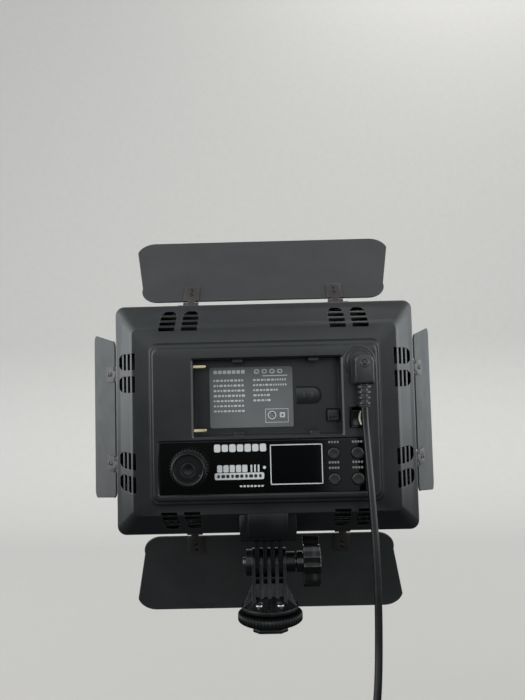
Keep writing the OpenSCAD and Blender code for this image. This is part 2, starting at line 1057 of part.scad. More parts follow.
// Lower fingers, the ribbed flare and the round flange
module finger_base() {
    flange_z = 10.4;
    flange_t = 1.8;
    web_z = 24;
    web_inset = 2.6;
    half_w = 2 * finger_pitch + finger_t / 2 + 0.3;
    color(black)
        difference() {
            union() {
                for (i = [-2 : 2])
                    translate([i * finger_pitch, 0, pivot_z]) {
                        rod_x(finger_r, -finger_t / 2, finger_t / 2);
                        translate([-finger_t / 2, -finger_r, -pivot_z + flange_z])
                            cube([finger_t, 2 * finger_r, pivot_z - flange_z]);
                    }
                translate([-half_w, -finger_r + web_inset, flange_z])
                    cube([2 * half_w, 2 * (finger_r - web_inset), web_z - flange_z]);
                translate([0, 0, flange_z])
                    cylinder(r = 15.4, h = flange_t);
                translate([0, 0, flange_z + flange_t])
                    cylinder(r1 = 14.8, r2 = 9, h = 5);
                // side gussets
                for (s = [-1, 1])
                    translate([0, 3 * s + 1.2, 0])
                        rotate([90, 0, 0])
                            linear_extrude(2.4)
                                polygon([[-14.6, 12], [14.6, 12], [half_w, 22], [-half_w, 22]]);
                // nut pocket wall
                translate([-half_w - 3, 0, pivot_z])
                    rod_x(7, 0, 4);
                // boss under the knob
                translate([half_w - 1, 0, pivot_z])
                    rod_x(5.4, 0, 5.6);
            }
            translate([0, 0, pivot_z])
                rod_x(bolt_r + fit, -30, 30);
            translate([-half_w - 3.5, 0, pivot_z])
                rotate([0, 90, 0])
                    cylinder(r = 5.9, h = 3.2, $fn = 6);
            cylinder(r = 6, h = 14);
            for (s = [-1, 1])
                translate([s * 5.6, -11.2, flange_z - 1]) {
                    cylinder(r = 1.05, h = 8);
                    translate([0, 0, 4.6])
                        cylinder(r = 2, h = 4);
                }
        }
}

module base_screws() {
    color(steel)
        for (s = [-1, 1])
            translate([s * 5.6, -11.2, 0]) {
                translate([0, 0, 10.6])
                    cylinder(r = 1, h = 4);
                translate([0, 0, 14])
                    cylinder(r = 1.9, h = 1.2);
            }
}

module tilt_bolt() {
    color(steel)
        translate([0, 0, pivot_z])
            rod_x(bolt_r, -14.4, 26);
}

module tilt_nut() {
    color(steel)
        translate([-12.4, 0, pivot_z])
            rotate([0, 90, 0])
                difference() {
                    cylinder(r = 5.6, h = 2.4, $fn = 6);
                    translate([0, 0, -1])
                        cylinder(r = bolt_r + fit, h = 5);
                }
}

module tilt_knob() {
    color(black)
        translate([0, 0, pivot_z])
            rotate([0, 90, 0])
                difference() {
                    union() {
                        translate([0, 0, 18.6])
                            linear_extrude(9)
                                fluted(13.6, 3, 8);
                        translate([0, 0, 15.2])
                            cylinder(r = 5.6, h = 3.6);
                        translate([0, 0, 27.4])
                            cylinder(r1 = 9.6, r2 = 8.8, h = 0.9);
                    }
                    translate([0, 0, 10])
                        cylinder(r = bolt_r, h = 16);
                }
}

module lock_ring() {
    stem_r = 6;
    color(black)
        translate([0, 0, 4.1])
            difference() {
                union() {
                    translate([0, 0, 0.7])
                        linear_extrude(3.8)
                            fluted(ring_r, 0.6, 60);
                    cylinder(r1 = ring_r - 1.2, r2 = ring_r - 0.5, h = 0.8);
                    translate([0, 0, 4.4])
                        cylinder(r1 = ring_r - 0.5, r2 = ring_r - 1.2, h = 0.6);
                }
                translate([0, 0, -1])
                    cylinder(r = stem_r + 0.08, h = 8);
            }
}

// Square foot with cut corners, its stem and the blind thread for a stand
module shoe_foot() {
    foot_w = 18.6;
    cut = 3.6;
    color(black)
        difference() {
            union() {
                linear_extrude(2)
                    intersection() {
                        square(foot_w, center = true);
                        rotate(45)
                            square(foot_w * sqrt(2) - cut * sqrt(2), center = true);
                    }
                translate([0, 0, 1])
                    cylinder(r = 6, h = 13);
                translate([0, 0, 1.9])
                    cylinder(r = 7.6, h = 1.9);
            }
            translate([0, 0, -1])
                cylinder(r = thread_r, h = 10);
        }
}

rear_housing();
front_frame();
diffuser();
heat_plate();
led_board();
cool_leds();
warm_leds();
driver_board();
control_board();
battery_contacts();
spring_tongue();
battery_latch();
rating_plate();
control_panel();
display();
encoder_body();
encoder_shaft();
dimmer_knob();
exit_button();
ok_button();
coarse_button();
scene_button();
key_switches();
switch_frame();
power_rocker();
dc_socket();
dc_plug();
strain_relief();
power_cord();
cord_coil();
cord_tie();
wall_adapter();
board_screws();
upper_bracket();
bracket_screws();
hinge_straps();
strap_rivets();
hinge_pins();
top_door();
bottom_door();
left_door();
right_door();
top_leaves();
bottom_leaves();
left_leaves();
right_leaves();
top_rivets();
bottom_rivets();
left_rivets();
right_rivets();
finger_base();
base_screws();
tilt_bolt();
tilt_nut();
tilt_knob();
lock_ring();
shoe_foot();
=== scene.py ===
# led panel light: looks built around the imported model, in metres in the model's own frame
import bpy
import bmesh
import json
import math
from mathutils import Matrix, Vector

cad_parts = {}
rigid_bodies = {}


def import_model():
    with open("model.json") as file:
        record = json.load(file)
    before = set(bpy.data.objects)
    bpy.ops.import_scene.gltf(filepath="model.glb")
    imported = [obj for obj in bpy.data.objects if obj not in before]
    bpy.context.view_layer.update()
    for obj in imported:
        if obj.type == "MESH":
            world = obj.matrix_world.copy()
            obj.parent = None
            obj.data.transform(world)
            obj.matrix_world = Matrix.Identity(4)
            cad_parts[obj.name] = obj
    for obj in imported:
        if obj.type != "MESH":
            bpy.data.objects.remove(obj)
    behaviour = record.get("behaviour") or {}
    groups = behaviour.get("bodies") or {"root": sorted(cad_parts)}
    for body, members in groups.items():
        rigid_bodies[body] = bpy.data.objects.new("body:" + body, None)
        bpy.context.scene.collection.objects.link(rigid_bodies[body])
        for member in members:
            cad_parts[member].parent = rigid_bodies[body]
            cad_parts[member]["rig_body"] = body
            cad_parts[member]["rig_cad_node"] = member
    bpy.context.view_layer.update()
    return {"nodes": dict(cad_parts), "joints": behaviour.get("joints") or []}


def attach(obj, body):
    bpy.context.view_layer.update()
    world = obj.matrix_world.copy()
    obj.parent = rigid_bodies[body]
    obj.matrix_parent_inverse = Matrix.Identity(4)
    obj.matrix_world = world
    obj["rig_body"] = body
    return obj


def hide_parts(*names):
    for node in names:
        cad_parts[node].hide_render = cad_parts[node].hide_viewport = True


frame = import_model()
scene = bpy.context.scene
nodes = frame["nodes"]
joints = {j["name"]: j for j in frame["joints"]}
mm = 0.001

# the head's own frame, millimetres: x right, y to the lamps, z up, from the middle of the rim
headPivot = {"depth": 22, "drop": 80}
pressAxis = joints["exit_press"]["axis"]
headTilt = math.atan2(pressAxis[2], pressAxis[1])
standSpace = Matrix.Scale(mm, 4)
headSpace = (Matrix.Translation(joints["head_tilt"]["pos_m"]) @ Matrix.Rotation(headTilt, 4, "X")
             @ Matrix.Translation((0, -headPivot["depth"] * mm, headPivot["drop"] * mm))
             @ standSpace)
print("frame loaded, head tilt", round(math.degrees(headTilt), 2))

cameraSet = {"place": (0.00167, -0.30757, 0.10005), "look": (-0.0084, 0.9855, 0.1696),
             "right": (0.9997, 0.01237, -0.02276), "lens": 27.16, "sensor": 36,
             "clip": (0.01, 50)}  # metres, lens and sensor in millimetres


def makeCamera(s):
    look = Vector(s["look"]).normalized()
    right = Vector(s["right"])
    right = (right - look * right.dot(look)).normalized()
    up = right.cross(look)
    data = bpy.data.cameras.new("camera")
    data.lens = s["lens"]
    data.sensor_width = s["sensor"]
    data.clip_start, data.clip_end = s["clip"]
    camera = bpy.data.objects.new("camera", data)
    turn = Matrix((right, up, -look)).transposed().to_4x4()
    camera.matrix_world = Matrix.Translation(s["place"]) @ turn
    scene.collection.objects.link(camera)
    scene.camera = camera


makeCamera(cameraSet)
scene.view_settings.view_transform = "Standard"
scene.cycles.use_denoising = True

# shader groups that the finishes share


def newGroup(name, inputs, outputs):
    group = bpy.data.node_groups.new(name, "ShaderNodeTree")
    for label, value in inputs:
        socket = group.interface.new_socket(label, in_out="INPUT", socket_type="NodeSocketFloat")
        socket.default_value = value
    for label in outputs:
        kind = "NodeSocketVector" if label == "Normal" else "NodeSocketFloat"
        group.interface.new_socket(label, in_out="OUTPUT", socket_type=kind)
    return group, group.nodes.new("NodeGroupInput"), group.nodes.new("NodeGroupOutput")


def addNode(tree, kind, **values):
    node = tree.nodes.new(kind)
    for key, value in values.items():
        if hasattr(node, key):
            setattr(node, key, value)
        else:
            node.inputs[key.replace("_", " ")].default_value = value
    return node


def math2(tree, operation, first, second):
    node = tree.nodes.new("ShaderNodeMath")
    node.operation = operation
    for socket, value in zip(node.inputs, (first, second)):
        if isinstance(value, (int, float)):
            socket.default_value = value
        else:
            tree.links.new(value, socket)
    return node.outputs[0]


def remap(tree, value, low, high, toLow=0.0, toHigh=1.0):
    node = tree.nodes.new("ShaderNodeMapRange")
    node.inputs["From Min"].default_value = low
    node.inputs["From Max"].default_value = high
    node.inputs["To Min"].default_value = toLow
    node.inputs["To Max"].default_value = toHigh
    tree.links.new(value, node.inputs["Value"])
    return node.outputs["Result"]


grainSet = {"scale": 2500.0, "patchScale": 40.0, "noiseShare": 0.7, "cellShare": 0.5,
            "patch": (0.35, 0.68), "fleck": (0.66, 0.78)}


def makeGrainGroup(s):  # fine moulded or powder-coated grain, plus broad uneven patches
    group, taken, given = newGroup(
        "mouldGrain", [("Scale", s["scale"]), ("Patch Scale", s["patchScale"])],
                                   ["Height", "Patch", "Fleck"])
    place = addNode(group, "ShaderNodeTexCoord").outputs["Object"]
    fine = addNode(group, "ShaderNodeTexNoise", Detail=3.0, Roughness=0.6)
    cells = addNode(group, "ShaderNodeTexVoronoi")
    broad = addNode(group, "ShaderNodeTexNoise", Detail=4.0, Roughness=0.55, Distortion=0.4)
    for node, scale in ((fine, taken.outputs["Scale"]), (cells, taken.outputs["Scale"]),
                        (broad, taken.outputs["Patch Scale"])):
        group.links.new(place, node.inputs["Vector"])
        group.links.new(scale, node.inputs["Scale"])
    mixed = math2(group, "ADD", math2(group, "MULTIPLY", fine.outputs[0], s["noiseShare"]),
                  math2(group, "MULTIPLY", cells.outputs["Distance"], s["cellShare"]))
    group.links.new(mixed, given.inputs["Height"])
    group.links.new(remap(group, broad.outputs[0], *s["patch"]), given.inputs["Patch"])
    group.links.new(remap(group, fine.outputs[0], *s["fleck"]), given.inputs["Fleck"])
    return group


edgeSet = {"radius": 0.0006, "breakScale": 350.0, "samples": 4, "start": 0.995, "full": 0.86,
           "broken": (0.38, 0.62), "least": 0.35}


# mask for the lighter edge colour, partly wear and partly painted highlight on rounded edges
def makeEdgeGroup(s):  # 1 on a rounded-over edge, 0 away from it, broken up by noise
    group, taken, given = newGroup(
        "edgeWearAndHighlight", [("Radius", s["radius"]), ("Break Scale", s["breakScale"])], ["Edge", "Normal"])
    rounded = addNode(group, "ShaderNodeBevel", samples=s["samples"])
    group.links.new(taken.outputs["Radius"], rounded.inputs["Radius"])
    plain = addNode(group, "ShaderNodeNewGeometry")
    group.links.new(rounded.outputs[0], given.inputs["Normal"])
    dot = addNode(group, "ShaderNodeVectorMath", operation="DOT_PRODUCT")
    group.links.new(rounded.outputs[0], dot.inputs[0])
    group.links.new(plain.outputs["Normal"], dot.inputs[1])
    edge = remap(group, dot.outputs["Value"], s["start"], s["full"])
    place = addNode(group, "ShaderNodeTexCoord").outputs["Object"]
    broken = addNode(group, "ShaderNodeTexNoise", Detail=3.0)
    group.links.new(place, broken.inputs["Vector"])
    group.links.new(taken.outputs["Break Scale"], broken.inputs["Scale"])
    whole = remap(group, broken.outputs[0], *s["broken"], s["least"], 1.0)
    group.links.new(math2(group, "MULTIPLY", edge, whole), given.inputs["Edge"])
    return group


dustSet = {"amount": 0.3, "speckScale": 900.0, "smearScale": 60.0, "sideShare": 0.15,
           "specks": (0.5, 0.75), "smears": (0.4, 0.7)}


def makeDustGroup(s):  # settled dust on upward faces and light handling smears elsewhere
    group, taken, given = newGroup("dustFilm", [("Amount", s["amount"])], ["Dust", "Smear"])
    upward = addNode(group, "ShaderNodeSeparateXYZ")
    group.links.new(addNode(group, "ShaderNodeNewGeometry").outputs["Normal"], upward.inputs[0])
    place = addNode(group, "ShaderNodeTexCoord").outputs["Object"]
    specks = addNode(group, "ShaderNodeTexNoise", Scale=s["speckScale"], Detail=6.0, Roughness=0.75)
    smear = addNode(group, "ShaderNodeTexNoise", Scale=s["smearScale"], Detail=5.0, Distortion=1.2)
    group.links.new(place, specks.inputs["Vector"])
    group.links.new(place, smear.inputs["Vector"])
    facing = remap(group, upward.outputs["Z"], 0.0, 1.0, s["sideShare"], 1.0)
    settled = math2(group, "MULTIPLY", facing, remap(group, specks.outputs[0], *s["specks"]))
    group.links.new(math2(group, "MULTIPLY", settled, taken.outputs["Amount"]),
                    given.inputs["Dust"])
    group.links.new(remap(group, smear.outputs[0], *s["smears"]), given.inputs["Smear"])
    return group


grainGroup = makeGrainGroup(grainSet)
edgeGroup = makeEdgeGroup(edgeSet)
dustGroup = makeDustGroup(dustSet)


def mixColour(tree, first, second, factor):
    node = tree.nodes.new("ShaderNodeMix")
    node.data_type = "RGBA"
    for socket, value in ((node.inputs[0], factor), (node.inputs[6], first),
                          (node.inputs[7], second)):
        if isinstance(value, tuple):
            socket.default_value = value if len(value) == 4 else value + (1.0,)
        else:
            tree.links.new(value, socket)
    return node.outputs[2]


def placeGroup(tree, group, **values):
    node = tree.nodes.new("ShaderNodeGroup")
    node.node_tree = group
    for key, value in values.items():
        node.inputs[key].default_value = value
    return node


plainFinish = {"grainScale": 2500.0, "patchScale": 40.0, "dust": 0.25, "edgeRadius": 0.0005,
               "edgeAmount": 0.5, "dustColour": (0.12, 0.12, 0.11), "bump": 0.25,
               "bumpDepth": 0.00008, "shader": {}}


def makeFinish(name, own):  # colours of body, patch and edge; roughness range; grain; shader values
    s = {**plainFinish, **own}
    finish = bpy.data.materials.new(name)
    finish.use_nodes = True
    tree = finish.node_tree
    shader = tree.nodes["Principled BSDF"]
    grain = placeGroup(tree, grainGroup, Scale=s["grainScale"])
    grain.inputs["Patch Scale"].default_value = s["patchScale"]
    dust = placeGroup(tree, dustGroup, Amount=s["dust"])
    colour = mixColour(tree, s["colour"], s["patch"], grain.outputs["Patch"])
    if "fleck" in s:
        colour = mixColour(tree, colour, s["fleck"], grain.outputs["Fleck"])
    # lighter edge colour: partly wear, partly painted highlight
    if "edge" in s:
        edge = placeGroup(tree, edgeGroup, Radius=s["edgeRadius"])
        wornAndHighlit = math2(tree, "MULTIPLY", edge.outputs["Edge"], s["edgeAmount"])
        colour = mixColour(tree, colour, s["edge"], wornAndHighlit)
    colour = mixColour(tree, colour, s["dustColour"], dust.outputs["Dust"])
    tree.links.new(colour, shader.inputs["Base Color"])
    low, high = s["rough"]
    mixed = math2(tree, "ADD", math2(tree, "MULTIPLY", grain.outputs["Patch"], 0.5),
                  math2(tree, "MULTIPLY", dust.outputs["Smear"], 0.5))
    tree.links.new(remap(tree, mixed, 0.0, 1.0, low, high), shader.inputs["Roughness"])
    bump = addNode(tree, "ShaderNodeBump", Strength=s["bump"], Distance=s["bumpDepth"])
    tree.links.new(grain.outputs["Height"], bump.inputs["Height"])
    if "edge" in s:
        tree.links.new(edge.outputs["Normal"], bump.inputs["Normal"])
    tree.links.new(bump.outputs["Normal"], shader.inputs["Normal"])
    for key, value in s["shader"].items():
        shader.inputs[key].default_value = value
    return finish


def grey(value, cool=0.0):
    return (value, value * (1 + cool * 0.5), value * (1 + cool))


# edge: lighter colour on rounded edges, partly wear and partly painted highlight
finishes = {
    "housingPlastic": {"colour": grey(0.014, 0.14), "patch": grey(0.019, 0.14),
                       "edge": grey(0.11, 0.05), "edgeAmount": 0.7, "edgeRadius": 0.0003,
                       "rough": (0.28, 0.40), "grainScale": 3200.0, "bump": 0.14},
    "doorPaint": {"colour": grey(0.030, 0.03), "patch": grey(0.037, 0.02), "edge": grey(0.12),
                  "edgeAmount": 0.4, "fleck": grey(0.07), "rough": (0.5, 0.62),
                  "grainScale": 2600.0, "bump": 0.35, "dust": 0.35},
    "strapMetal": {"colour": (0.058, 0.052, 0.048), "patch": (0.082, 0.074, 0.069),
                   "edge": grey(0.28), "edgeAmount": 0.6, "rough": (0.42, 0.6), "bump": 0.25,
                   "shader": {"Metallic": 0.5}},
    "rivetMetal": {"colour": grey(0.012), "patch": grey(0.02), "edge": grey(0.2), "edgeAmount": 0.4,
                   "rough": (0.3, 0.45), "bump": 0.15, "shader": {"Metallic": 0.3}},
    "glossPanel": {"colour": grey(0.0008), "patch": grey(0.0014), "edge": grey(0.12),
                   "edgeAmount": 0.5, "edgeRadius": 0.0003, "rough": (0.06, 0.11),
                   "grainScale": 800.0, "bump": 0.02, "dust": 0.02,
                   "shader": {"Specular IOR Level": 0.4}},
    "rockerGloss": {"colour": (0.010, 0.0085, 0.0065), "patch": (0.014, 0.012, 0.009),
                    "edge": grey(0.12), "edgeAmount": 0.5, "rough": (0.16, 0.24), "bump": 0.04,
                    "dust": 0.1},
    # cream strip on the rocker: painted reflection
    "creamReflectionPaint": {"colour": (0.72, 0.70, 0.60), "patch": (0.66, 0.64, 0.54), "rough": (0.2, 0.3),
                    "bump": 0.03, "dust": 0.05, "shader": {"Coat Weight": 0.3}},
    # vent bars: darker colour is painted shade in the vents, lighter edges partly painted highlight
    "ventBarShade": {"colour": grey(0.0045, 0.1), "patch": grey(0.007, 0.1), "edge": grey(0.16),
                    "edgeAmount": 0.7, "edgeRadius": 0.0002, "rough": (0.2, 0.3), "bump": 0.1,
                    "dust": 0.1, "shader": {"Specular IOR Level": 0.35}},
    # near-black heat plate: painted shade inside the housing behind the vents
    "darkPlate": {"colour": grey(0.006), "patch": grey(0.010), "rough": (0.3, 0.42), "bump": 0.1,
                  "dust": 0.1, "shader": {"Metallic": 0.5}},
    "displayGlass": {"colour": (0.0008, 0.001, 0.0014), "patch": (0.0012, 0.0015, 0.002),
                     "rough": (0.04, 0.08), "grainScale": 500.0, "bump": 0.01, "dust": 0.02,
                     "shader": {"Specular IOR Level": 0.3}},
    "knobPlastic": {"colour": grey(0.006, 0.1), "patch": grey(0.009, 0.1), "edge": grey(0.12),
                    "edgeAmount": 0.5, "edgeRadius": 0.00015, "rough": (0.22, 0.34), "bump": 0.1,
                    "shader": {"Specular IOR Level": 0.26}},
    "buttonPlastic": {"colour": grey(0.016, 0.12), "patch": grey(0.021, 0.12), "edge": grey(0.08),
                      "rough": (0.38, 0.5), "bump": 0.15},
    "bracketPlastic": {"colour": grey(0.004, 0.25), "patch": grey(0.006, 0.25), "edge": grey(0.08),
                       "edgeAmount": 0.45, "rough": (0.24, 0.36), "grainScale": 2800.0,
                       "bump": 0.12, "shader": {"Specular IOR Level": 0.3}},
    "clampGloss": {"colour": grey(0.005), "patch": grey(0.008), "edge": grey(0.34),
                   "edgeAmount": 0.85, "edgeRadius": 0.0003, "rough": (0.12, 0.2), "bump": 0.06,
                   "dust": 0.1},
    "ringPlastic": {"colour": grey(0.0025), "patch": grey(0.004), "edge": grey(0.1),
                    "edgeAmount": 0.5, "edgeRadius": 0.00015, "rough": (0.3, 0.42), "bump": 0.1,
                    "dust": 0.1, "shader": {"Specular IOR Level": 0.22}},
    "cordRubber": {"colour": grey(0.003), "patch": grey(0.0045), "rough": (0.22, 0.3),
                   "grainScale": 1800.0, "bump": 0.06, "dust": 0.08},
    "plugRubber": {"colour": grey(0.020, 0.1), "patch": grey(0.026, 0.1), "edge": grey(0.14),
                   "edgeRadius": 0.00025, "rough": (0.24, 0.34), "bump": 0.1},
    "adapterPlastic": {"colour": grey(0.012), "patch": grey(0.016), "edge": grey(0.06),
                       "rough": (0.36, 0.5), "grainScale": 2200.0, "bump": 0.4},
    "tieFabric": {"colour": grey(0.012), "patch": grey(0.02), "rough": (0.75, 0.9),
                  "grainScale": 5000.0, "bump": 0.8, "bumpDepth": 0.0002, "dust": 0.5},
    "plateLabel": {"colour": grey(0.15, 0.03), "patch": grey(0.175, 0.03), "edge": grey(0.3),
                   "rough": (0.36, 0.5), "grainScale": 1500.0, "bump": 0.05,
                   "dustColour": grey(0.25)},
    "printInk": {"colour": grey(0.62), "patch": grey(0.74), "rough": (0.45, 0.6),
                 "grainScale": 3000.0, "bump": 0.1, "dustColour": grey(0.5)},
    "greyInk": {"colour": grey(0.20), "patch": grey(0.27), "rough": (0.45, 0.6), "bump": 0.1,
                "dustColour": grey(0.25)},
    "darkInk": {"colour": grey(0.012), "patch": grey(0.022), "rough": (0.45, 0.6), "bump": 0.1},
    "goldContact": {"colour": (0.84, 0.72, 0.46), "patch": (0.76, 0.62, 0.36),
                    "edge": (0.95, 0.88, 0.7), "rough": (0.26, 0.38), "bump": 0.08,
                    "shader": {"Metallic": 1.0}},
    "steel": {"colour": grey(0.55), "patch": grey(0.46), "edge": grey(0.75), "rough": (0.22, 0.36),
              "bump": 0.1, "shader": {"Metallic": 1.0}},
    "darkBolt": {"colour": grey(0.06), "patch": grey(0.09), "edge": grey(0.5), "rough": (0.2, 0.32),
                 "bump": 0.1, "shader": {"Metallic": 0.8}},
    "whiteBoard": {"colour": (0.72, 0.72, 0.69), "patch": (0.66, 0.66, 0.62), "rough": (0.4, 0.52),
                   "bump": 0.06},
    "greenBoard": {"colour": (0.008, 0.05, 0.025), "patch": (0.012, 0.07, 0.035),
                   "rough": (0.3, 0.45), "bump": 0.1},
    "lampBody": {"colour": (0.8, 0.79, 0.75), "patch": (0.74, 0.73, 0.69), "rough": (0.35, 0.45),
                 "bump": 0.05},
    "coolPhosphor": {"colour": (0.78, 0.72, 0.2), "patch": (0.7, 0.62, 0.14), "rough": (0.15, 0.25),
                     "bump": 0.05, "shader": {"Coat Weight": 0.5}},
    "warmPhosphor": {"colour": (0.85, 0.42, 0.07), "patch": (0.75, 0.34, 0.05),
                     "rough": (0.15, 0.25), "bump": 0.05, "shader": {"Coat Weight": 0.5}},
    "diffuserSheet": {"colour": (0.86, 0.88, 0.9), "patch": (0.82, 0.84, 0.86),
                      "rough": (0.16, 0.2), "grainScale": 1200.0, "bump": 0.06, "dust": 0.05,
                      "shader": {"Transmission Weight": 0.9, "IOR": 1.3}},
}
finish = {name: makeFinish(name, s) for name, s in finishes.items()}
print("finishes made:", len(finish))

# mesh helpers


def outline(width, height, radius, x=0.0, z=0.0, steps=8):  # rounded rectangle, counter-clockwise
    points = []
    for sx, sz, start in ((1, 1, 0), (-1, 1, 90), (-1, -1, 180), (1, -1, 270)):
        for k in range(steps + 1):
            a = math.radians(start + 90 * k / steps)
            points.append((x + sx * (width / 2 - radius) + radius * math.cos(a),
                           z + sz * (height / 2 - radius) + radius * math.sin(a)))
    return points


def ringAt(points, y):
    return [(p[0], y, p[1]) for p in points]


def boxRings(rows, steps=8, x=0.0, z=0.0):  # rows: y, width, height, radius
    return [ringAt(outline(*row[1:], x, z, steps), row[0]) for row in rows]


def buildMesh(name, points, faces, space):
    mesh = bpy.data.meshes.new(name)
    mesh.from_pydata([tuple(p) for p in points], [], faces)
    bm = bmesh.new()
    bm.from_mesh(mesh)
    bmesh.ops.recalc_face_normals(bm, faces=bm.faces)
    bm.to_mesh(mesh)
    bm.free()
    mesh.transform(space)
    thing = bpy.data.objects.new(name, mesh)
    scene.collection.objects.link(thing)
    return thing


def loft(name, rings, space, closed=False):
    count = len(rings[0])
    points = [p for ring in rings for p in ring]
    faces = []
    last = len(rings) if closed else len(rings) - 1
    for i in range(last):
        a, b = i * count, (i + 1) % len(rings) * count
        for k in range(count):
            n = (k + 1) % count
            faces.append((a + k, a + n, b + n, b + k))
    if not closed:
        faces.append(tuple(range(count))[::-1])
        faces.append(tuple((len(rings) - 1) * count + k for k in range(count)))
    return buildMesh(name, points, faces, space)


# profile: radius, height along +Z; wave(angle, index) scales
def lathe(name, profile, space, steps=48, wave=None):
    points, faces, rows = [], [], []
    for index, (radius, height) in enumerate(profile):
        if radius < 1e-6:
            rows.append([len(points)] * steps)
            points.append((0, 0, height))
            continue
        row = []
        for k in range(steps):
            a = 2 * math.pi * k / steps
            r = radius + (wave(a, index) if wave else 0)
            row.append(len(points))
            points.append((r * math.cos(a), r * math.sin(a), height))
        rows.append(row)
    for low, high in zip(rows, rows[1:]):
        for k in range(steps):
            n = (k + 1) % steps
            face = list(dict.fromkeys((low[k], low[n], high[n], high[k])))
            if len(face) > 2:
                faces.append(face)
    for row, flip in ((rows[0], True), (rows[-1], False)):
        if row[0] != row[1]:
            faces.append(row[::-1] if flip else row)
    return buildMesh(name, points, faces, space)


def headBox(name, rows, steps=8, x=0.0, z=0.0):  # rounded rectangles lofted in the head's own frame
    return loft(name, boxRings(rows, steps, x, z), headSpace)


def prism(name, points, y0, y1):
    return loft(name, [ringAt(points, y0), ringAt(points, y1)], headSpace)


def turned(degrees, axis):
    return Matrix.Rotation(math.radians(degrees), 4, axis)


def alongY(x, y, z):  # a lathe's +Z turned to face the back (-Y) from a point of the head
    return headSpace @ Matrix.Translation((x, y, z)) @ turned(90, "X")


def applied(thing):  # modifiers made real
    bpy.context.view_layer.update()
    done = thing.evaluated_get(bpy.context.evaluated_depsgraph_get())
    mesh = bpy.data.meshes.new_from_object(done)
    old = thing.data
    thing.modifiers.clear()
    thing.data = mesh
    bpy.data.meshes.remove(old)
    return thing


def softenEdges(thing, width, steps=2, angle=32, tidy=0.5):
    bm = bmesh.new()
    bm.from_mesh(thing.data)
    bmesh.ops.remove_doubles(bm, verts=bm.verts, dist=1e-6)
    if tidy:
        bmesh.ops.dissolve_limit(bm, angle_limit=math.radians(tidy), verts=bm.verts, edges=bm.edges)
    bm.to_mesh(thing.data)
    bm.free()
    bevel = thing.modifiers.new("soft", "BEVEL")
    bevel.width = width * mm
    bevel.segments = steps
    bevel.limit_method = "ANGLE"
    bevel.angle_limit = math.radians(angle)
    bevel.use_clamp_overlap = True
    bevel.miter_outer = "MITER_ARC"
    return applied(thing)


def carve(thing, cutter, operation="DIFFERENCE"):
    cut = thing.modifiers.new("cut", "BOOLEAN")
    cut.operation = operation
    cut.solver = "EXACT"
    cut.object = cutter
    applied(thing)
    bpy.data.objects.remove(cutter)
    return thing


def joined(name, parts):  # several meshes as one piece, keeping each part's finish
    bm = bmesh.new()
    slots = []
    for part in parts:
        start = len(bm.faces)
        bm.from_mesh(part.data)
        bm.faces.ensure_lookup_table()
        own = list(part.data.materials) or [None]
        lookup = []
        for material in own:
            if material not in slots:
                slots.append(material)
            lookup.append(slots.index(material))
        for face in bm.faces[start:]:
            face.material_index = lookup[min(face.material_index, len(lookup) - 1)]
    mesh = bpy.data.meshes.new(name)
    bm.to_mesh(mesh)
    bm.free()
    for material in slots:
        if material:
            mesh.materials.append(material)
    for part in parts:
        bpy.data.objects.remove(part)
    thing = bpy.data.objects.new(name, mesh)
    scene.collection.objects.link(thing)
    return thing


def painted(thing, name):
    thing.data.materials.clear()
    thing.data.materials.append(finish[name])
    return thing


capSet = {"area": 1e-4, "corners": 12, "angle": 8}


def flattenCaps(thing):  # broad flat faces keep their own shading up to the edge
    bm = bmesh.new()
    bm.from_mesh(thing.data)
    for face in bm.faces:
        if len(face.verts) < capSet["corners"] or face.calc_area() < capSet["area"]:
            continue
        for edge in face.edges:
            if len(edge.link_faces) == 2 and edge.calc_face_angle() > math.radians(capSet["angle"]):
                edge.smooth = False
    bm.to_mesh(thing.data)
    bm.free()


def settle(thing, body, look=None, replaces=(), smooth=38):
    if look:
        painted(thing, look)
    for face in thing.data.polygons:
        face.use_smooth = True
    thing.data.set_sharp_from_angle(angle=math.radians(smooth))
    flattenCaps(thing)
    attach(thing, body)
    if replaces:
        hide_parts(*replaces)
    return thing


def copyOf(node, name):
    thing = nodes[node].copy()
    thing.data = nodes[node].data.copy()
    thing.name = name
    thing.parent = None
    thing.matrix_world = Matrix.Identity(4)
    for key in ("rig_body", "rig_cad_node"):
        if key in thing:
            del thing[key]
    scene.collection.objects.link(thing)
    return thing


def softCopy(node, body, look, width, steps=2, angle=32, tidy=0.5, smooth=38):
    thing = softenEdges(copyOf(node, node + "Soft"), width, steps, angle, tidy)
    return settle(thing, body, look, (node,), smooth)


def keepNode(node, look):
    for place in nodes[node].material_slots:
        place.material = finish[look]
    if not nodes[node].material_slots:
        nodes[node].data.materials.append(finish[look])


# the lead
leadSet = {"diameter": 3.6, "length": 1.23, "coil": (60, -40, -50), "layers": (23.6, 20.0, 16.4),
           "columns": (-43.6, -40.0, -36.4), "enter": 140, "leave": 200, "perTurn": 28, "cross": 40}
leadDrop = [
    (50, -40.3, 116), (50.2, -39.4, 108), (50.6, -38.9, 99), (51, -38.8, 88), (51.4, -39, 76),
    (51.7, -39.2, 64), (51.9, -39.5, 52), (51.9, -39.7, 40), (51.7, -39.9, 28), (51.2, -40.1, 16),
    (50.5, -40.6, 5), (49.6, -41.6, -5), (48.5, -42.6, -14), (47.1, -43.3, -22), (45.2, -43.6, -29)]
leadTail = [(39.9, -36.6, -63.6), (42.2, -37.3, -69), (44.3, -38.2, -74.5), (45.6, -38.9, -80),
            (46, -39.2, -86), (46, -39.2, -91), (46, -39.2, -97)]
# layer and column of each turn
leadTurns = ((0, 0), (1, 0), (2, 0), (2, 1), (1, 1), (0, 1), (1, 2), (0, 2), (0, 2))


